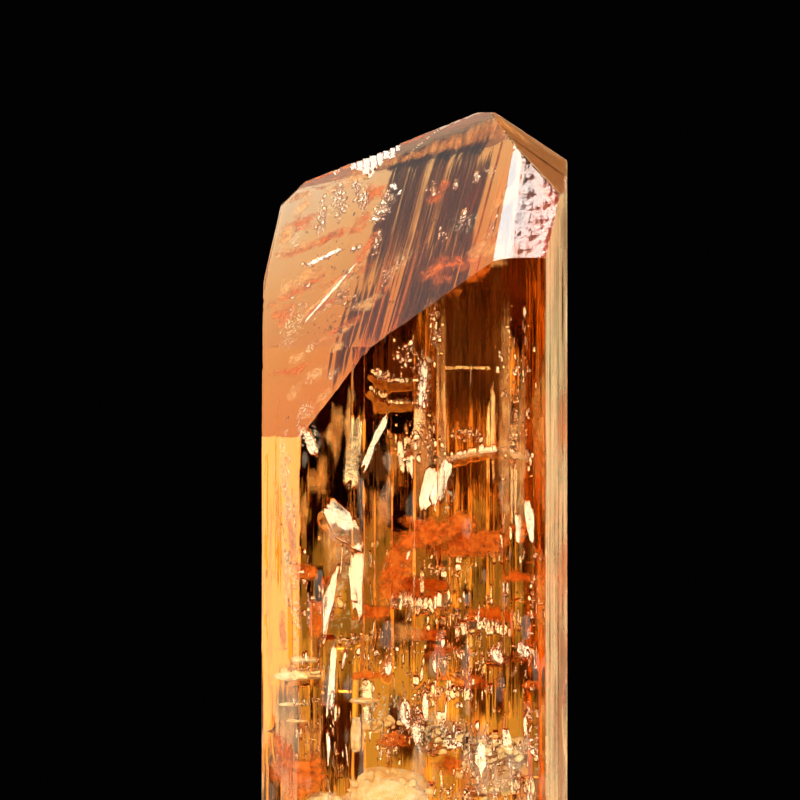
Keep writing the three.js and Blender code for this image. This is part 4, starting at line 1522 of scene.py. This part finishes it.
# Orange films under the ridge, a painted highlight along it.
def paintedRimHighlightFilms():
    normal = faceNormal("broadLeft")
    ridge = unit(ridgeAt(1.0) - ridgeAt(0.0))
    turn = math.atan2(ridge[2], ridge @ unit(np.cross([0.0, 0.0, 1.0], normal))) / degrees
    shells = []
    for k, (x, half) in enumerate(paintedRimHighlight):
        points, faces = lens((half, 0.07), stainAndRimHighlight["thick"], 0.01, 990 + k,
                             stainAndRimHighlight["rings"], stainAndRimHighlight["spokes"], 1.2)
        place = ridgeAt(x) - 0.05 * normal - np.array([0, 0.08, 0.08])
        points = facing(points, normal, turn) + place
        shells.append((keepInside(points, skin["rim"]), faces))
    return shells


def chalkFlakes():
    rng = np.random.default_rng(chalk["seed"])
    shells = []
    for face, x, z, deep, halfWidth, halfHeight, count in chalkClusters:
        for _ in range(count):
            off = rng.normal(0, 0.45, 3).clip(-1, 1) * (halfWidth, 0.5, halfHeight)
            place = seenThrough(face, x + off[0], z + off[2], deep + abs(off[1]))
            radius = between(chalk["radius"], rng.random() ** 2)
            size = (radius, radius * rng.uniform(0.4, 1.0))
            looks = (rng.normal(-0.2, 0.4), -1.0, rng.uniform(0.0, 1.2))
            shells.append(film(chalk, place, size, looks, rng.normal(0, 40), radius * 0.7,
                               700 + len(shells), 1.8))
    return shells


def lump(place, radii, seed, rows=36, columns=64):
    # A closed knobbly lump.
    polar = np.linspace(0, math.pi, rows + 1)[1:-1, None]
    turns = np.linspace(0, 2 * math.pi, columns, endpoint=False)
    x, y = np.sin(polar) * np.cos(turns), np.sin(polar) * np.sin(turns)
    z = np.cos(polar) * np.ones(columns)
    swell = 1 + 0.22 * softNoise(x * 1.6 + seed, y * 1.6, z * 1.6, 61)
    swell += 0.1 * softNoise(x * 4 + seed, y * 4, z * 4, 62)
    swell += 0.05 * softNoise(x * 10 + seed, y * 10, z * 10, 63)
    ball = np.stack([x, y, z], 2) * swell[..., None]
    points = np.vstack([ball.reshape(-1, 3), [[0, 0, 1.0], [0, 0, -1.0]]])
    top = len(points) - 2
    faces = []
    for j in range(columns):
        n = (j + 1) % columns
        faces.append((top, j, n))
        last = (rows - 2) * columns
        faces.append((top + 1, last + n, last + j))
        for i in range(rows - 2):
            faces.append((i * columns + j, (i + 1) * columns + j,
                          (i + 1) * columns + n, i * columns + n))
    return keepInside(points * radii + place, skin["lump"]), faces


def earthy(look):
    # A matt solid mottled between its colours, and, where it is a film, thinning out
    # to nothing in patches and at its rim.
    material = newMaterial(look["name"])
    place = addNode(material, "ShaderNodeTexCoord").outputs["Object"]
    drawn = addNode(material, "ShaderNodeMapping", {
        "Scale": (1.0, 1.0, 1.0 / look["drawn"])}, Vector=place)
    grain = addNode(material, "ShaderNodeTexNoise", {"Scale": perMetre / look["grain"],
                    "Detail": 5.0, "Roughness": 0.65}, Vector=drawn.outputs["Vector"])
    tone = addNode(material, "ShaderNodeValToRGB", Fac=grain.outputs["Fac"])
    ramp = tone.color_ramp
    colours = look["colours"]
    for k, colour in enumerate(colours):
        at = 0.32 + 0.36 * k / (len(colours) - 1)
        stop = ramp.elements[k] if k < 2 else ramp.elements.new(at)
        stop.position = at
        stop.color = linear(colour)
    bump = addNode(material, "ShaderNodeBump", {"Distance": 0.04 * metresPerMm},
                   Height=grain.outputs["Fac"])
    links = {"Base_Color": tone.outputs["Color"], "Normal": bump.outputs["Normal"]}
    if look["fade"]:
        body = addNode(material, "ShaderNodeAttribute", {"attribute_name": "body"})
        full = addNode(material, "ShaderNodeMath", {"operation": "MULTIPLY_ADD",
                       1: look["patchy"]}, in0=grain.outputs["Fac"], in2=body.outputs["Fac"])
        thin = addNode(material, "ShaderNodeMapRange", {
            "interpolation_type": "SMOOTHSTEP",
            "From Min": look["fade"][0] + look["patchy"] / 2,
            "From Max": look["fade"][1] + look["patchy"] / 2, "To Max": look["opacity"]},
            Value=full.outputs["Value"])
        links["Alpha"] = thin.outputs["Result"]
    if "drops" in look:
        # The film is beads of fluid with clear stone between them.
        beads = addNode(material, "ShaderNodeTexVoronoi", {
            "Scale": perMetre / look["drops"], "Randomness": 1.0}, Vector=place)
        wet = addNode(material, "ShaderNodeMapRange", {
            "interpolation_type": "SMOOTHSTEP", "From Min": 0.6, "From Max": 0.15},
            Value=beads.outputs["Distance"])
        both = addNode(material, "ShaderNodeMath", {"operation": "MULTIPLY"},
                       in0=thin.outputs["Result"], in1=wet.outputs["Result"])
        links["Alpha"] = both.outputs["Value"]
    surface = addNode(material, "ShaderNodeBsdfPrincipled", {"Roughness": look["roughness"]},
                      **links)
    addNode(material, "ShaderNodeOutputMaterial", None, Surface=surface.outputs["BSDF"])
    return material


def makeInclusion(name, shells, look, fainter=()):
    # The last shells can be fainter ones.
    everyShell = shells + list(fainter)
    piece = meshObject(name, *joinShells(everyShell), earthy(look))
    if look["fade"]:
        each = filmBody(look)
        body = np.tile(each, len(everyShell))
        body[len(shells) * len(each) :] *= look.get("faint", 1)
        addMask(piece.data, "body", body)
    belongs(piece)


# Iron-brown films, with sheets of painted shade.
makeInclusion("brown_films_and_painted_shade", sheavesOf(brownFilmAndShade, brownSheavesAndShade, tipSheaves, 63), brownFilmAndShade,
              sheavesOf(brownFilmAndShade, faintSheaves, faintTip, 64) + brownFlecks())
# Rust stains, and the painted highlight under the ridge.
makeInclusion("rust_stains_and_painted_rim", films(stainAndRimHighlight, rustStains, 600) + paintedRimHighlightFilms(), stainAndRimHighlight,
              films(stainAndRimHighlight, faintStains, 640))
makeInclusion("veilsAndReflections", films(veilAndReflection, veilsAndReflections, 650) + sheavesOf(veilAndReflection, veilSheaves, [], 67), veilAndReflection)
hazeShells = films(haze, hazeAndSheenPlaces, 680) + sheavesOf(haze, hazeSheaves, [], 65)
makeInclusion("haze_and_painted_sheen", hazeShells + hazeBehindRidge(hazeTips, 66), haze)
lumps = [lump(place, radii, k) for k, (place, radii) in enumerate(chalkLumps)]
makeInclusion("chalk_flakes", lumps + chalkFlakes(), chalk)


studio = {
    "floorRadius": 370.0,
    "floorSides": 96,
    "floorDrop": 0.02,  # keeps the foot's own face clear of the floor
    "floorColour": "#BCAFA3",
    "world": "#020203",
    "worldStrength": 1.0,
}

# Soft boxes: centre, what each looks at, size across and up, radiance and colour.
softBoxes = {
    "topBroad": {"at": (-20, 0, 300), "to": (0, 0, 0), "size": (190, 380), "light": 0.2,
                 "colour": "#FFFFFF"},
    "topHot": {"at": (-33, 20, 298), "to": (0, 0, 0), "size": (120, 85), "light": 12.5,
               "colour": "#F3F5F1"},
    "key": {"at": (-91, -251, 150), "to": (0, 0, 14), "size": (300, 200), "light": 15.0,
            "colour": "#FFF6DC"},
    "backTop": {"at": (0, 260, 220), "to": (0, 0, 20), "size": (200, 140), "light": 8.0,
                "colour": "#FFDCB8"},
    "tipBack": {"at": (90, 353, 155), "to": (0, 0, 30), "size": (90, 60), "light": 0.85,
                "colour": "#FFA058"},
    "backRight": {"at": (188, 353, 60), "to": (0, 0, 60), "size": (290, 130), "light": 1.9,
                  "colour": "#FFDE9C"},
    "lowBackWide": {"at": (-15, 300, 2), "to": (0, 0, 2), "size": (150, 26), "light": 0.36,
                    "colour": "#FBFFC8", "roll": 4},
    "lowBack": {"at": (10, 305, -2), "to": (0, 0, -2), "size": (90, 24), "light": 0.5,
                "colour": "#FBFFC8", "roll": -3},
    "left": {"at": (-380, -45, 40), "to": (0, 0, 16), "size": (260, 220), "light": 3.2,
             "colour": "#F8F2C0"},
    "upperLeft": {"at": (-297, 107, 315), "to": (0, 0, 26), "size": (330, 260),
                  "light": 0.8, "colour": "#FFF4EE"},
}

view = {
    "distance": 1000.0,
    "frameWidth": 31.47,  # mm across the picture at the crystal
    "centre": (-0.59, 21.67),  # x and z of the picture's middle
    "sensor": 36.0,
    "clip": (0.01, 20.0),  # metres
}


def makeFloor():
    radius = studio["floorRadius"]
    points = [(0, 0, 0)]
    faces = []
    count = studio["floorSides"]
    for k in range(count):
        angle = 2 * math.pi * k / count
        points.append((radius * math.cos(angle), radius * math.sin(angle), 0))
        faces.append((0, 1 + k, 1 + (k + 1) % count))
    card = newMaterial("studio card, matt pale")
    place = addNode(card, "ShaderNodeTexCoord").outputs["Object"]
    fibre = addNode(card, "ShaderNodeTexNoise", {"Scale": 2500.0, "Detail": 3.0}, Vector=place)
    bump = addNode(card, "ShaderNodeBump", {"Strength": 0.1, "Distance": 0.00005},
                   Height=fibre.outputs["Fac"])
    surface = addNode(card, "ShaderNodeBsdfPrincipled", {
        "Base Color": linear(studio["floorColour"]), "Roughness": 0.85},
        Normal=bump.outputs["Normal"])
    addNode(card, "ShaderNodeOutputMaterial", None, Surface=surface.outputs["BSDF"])
    floor = meshObject("floor", points, faces, card)
    floor.location.z = -studio["floorDrop"] * metresPerMm


def makeLights():
    world = bpy.data.worlds.new("studio")
    bpy.context.scene.world = world
    world.use_nodes = True
    background = world.node_tree.nodes["Background"]
    background.inputs["Color"].default_value = linear(studio["world"])
    background.inputs["Strength"].default_value = studio["worldStrength"]
    for name, box in softBoxes.items():
        lamp = bpy.data.lights.new(name, "AREA")
        lamp.shape = "RECTANGLE"
        lamp.size = box["size"][0] * metresPerMm
        lamp.size_y = box["size"][1] * metresPerMm
        lamp.energy = box["light"] * math.pi * lamp.size * lamp.size_y
        lamp.color = linear(box["colour"])[:3]
        holder = bpy.data.objects.new(name, lamp)
        holder.location = Vector(box["at"]) * metresPerMm
        look = (Vector(box["to"]) - Vector(box["at"])).to_track_quat("-Z", "Y")
        turn = Matrix.Rotation(box.get("roll", 0) * degrees, 3, "Z")
        holder.rotation_euler = (look.to_matrix() @ turn).to_euler()
        holder.visible_camera = False
        bpy.context.scene.collection.objects.link(holder)


def makeCamera():
    optics = bpy.data.cameras.new("camera")
    optics.sensor_width = view["sensor"]
    optics.lens = view["distance"] * view["sensor"] / view["frameWidth"]
    optics.clip_start, optics.clip_end = view["clip"]
    camera = bpy.data.objects.new("camera", optics)
    x, z = view["centre"]
    camera.location = Vector((x, -view["distance"], z)) * metresPerMm
    camera.rotation_euler = (math.pi / 2, 0, 0)
    bpy.context.scene.collection.objects.link(camera)
    bpy.context.scene.camera = camera


makeFloor()
makeLights()
makeCamera()

scene = bpy.context.scene
scene.cycles.max_bounces = 32
scene.cycles.transmission_bounces = 32
scene.cycles.glossy_bounces = 12
scene.cycles.use_denoising = True
scene.view_settings.view_transform = "Standard"
print("stage, light and camera")
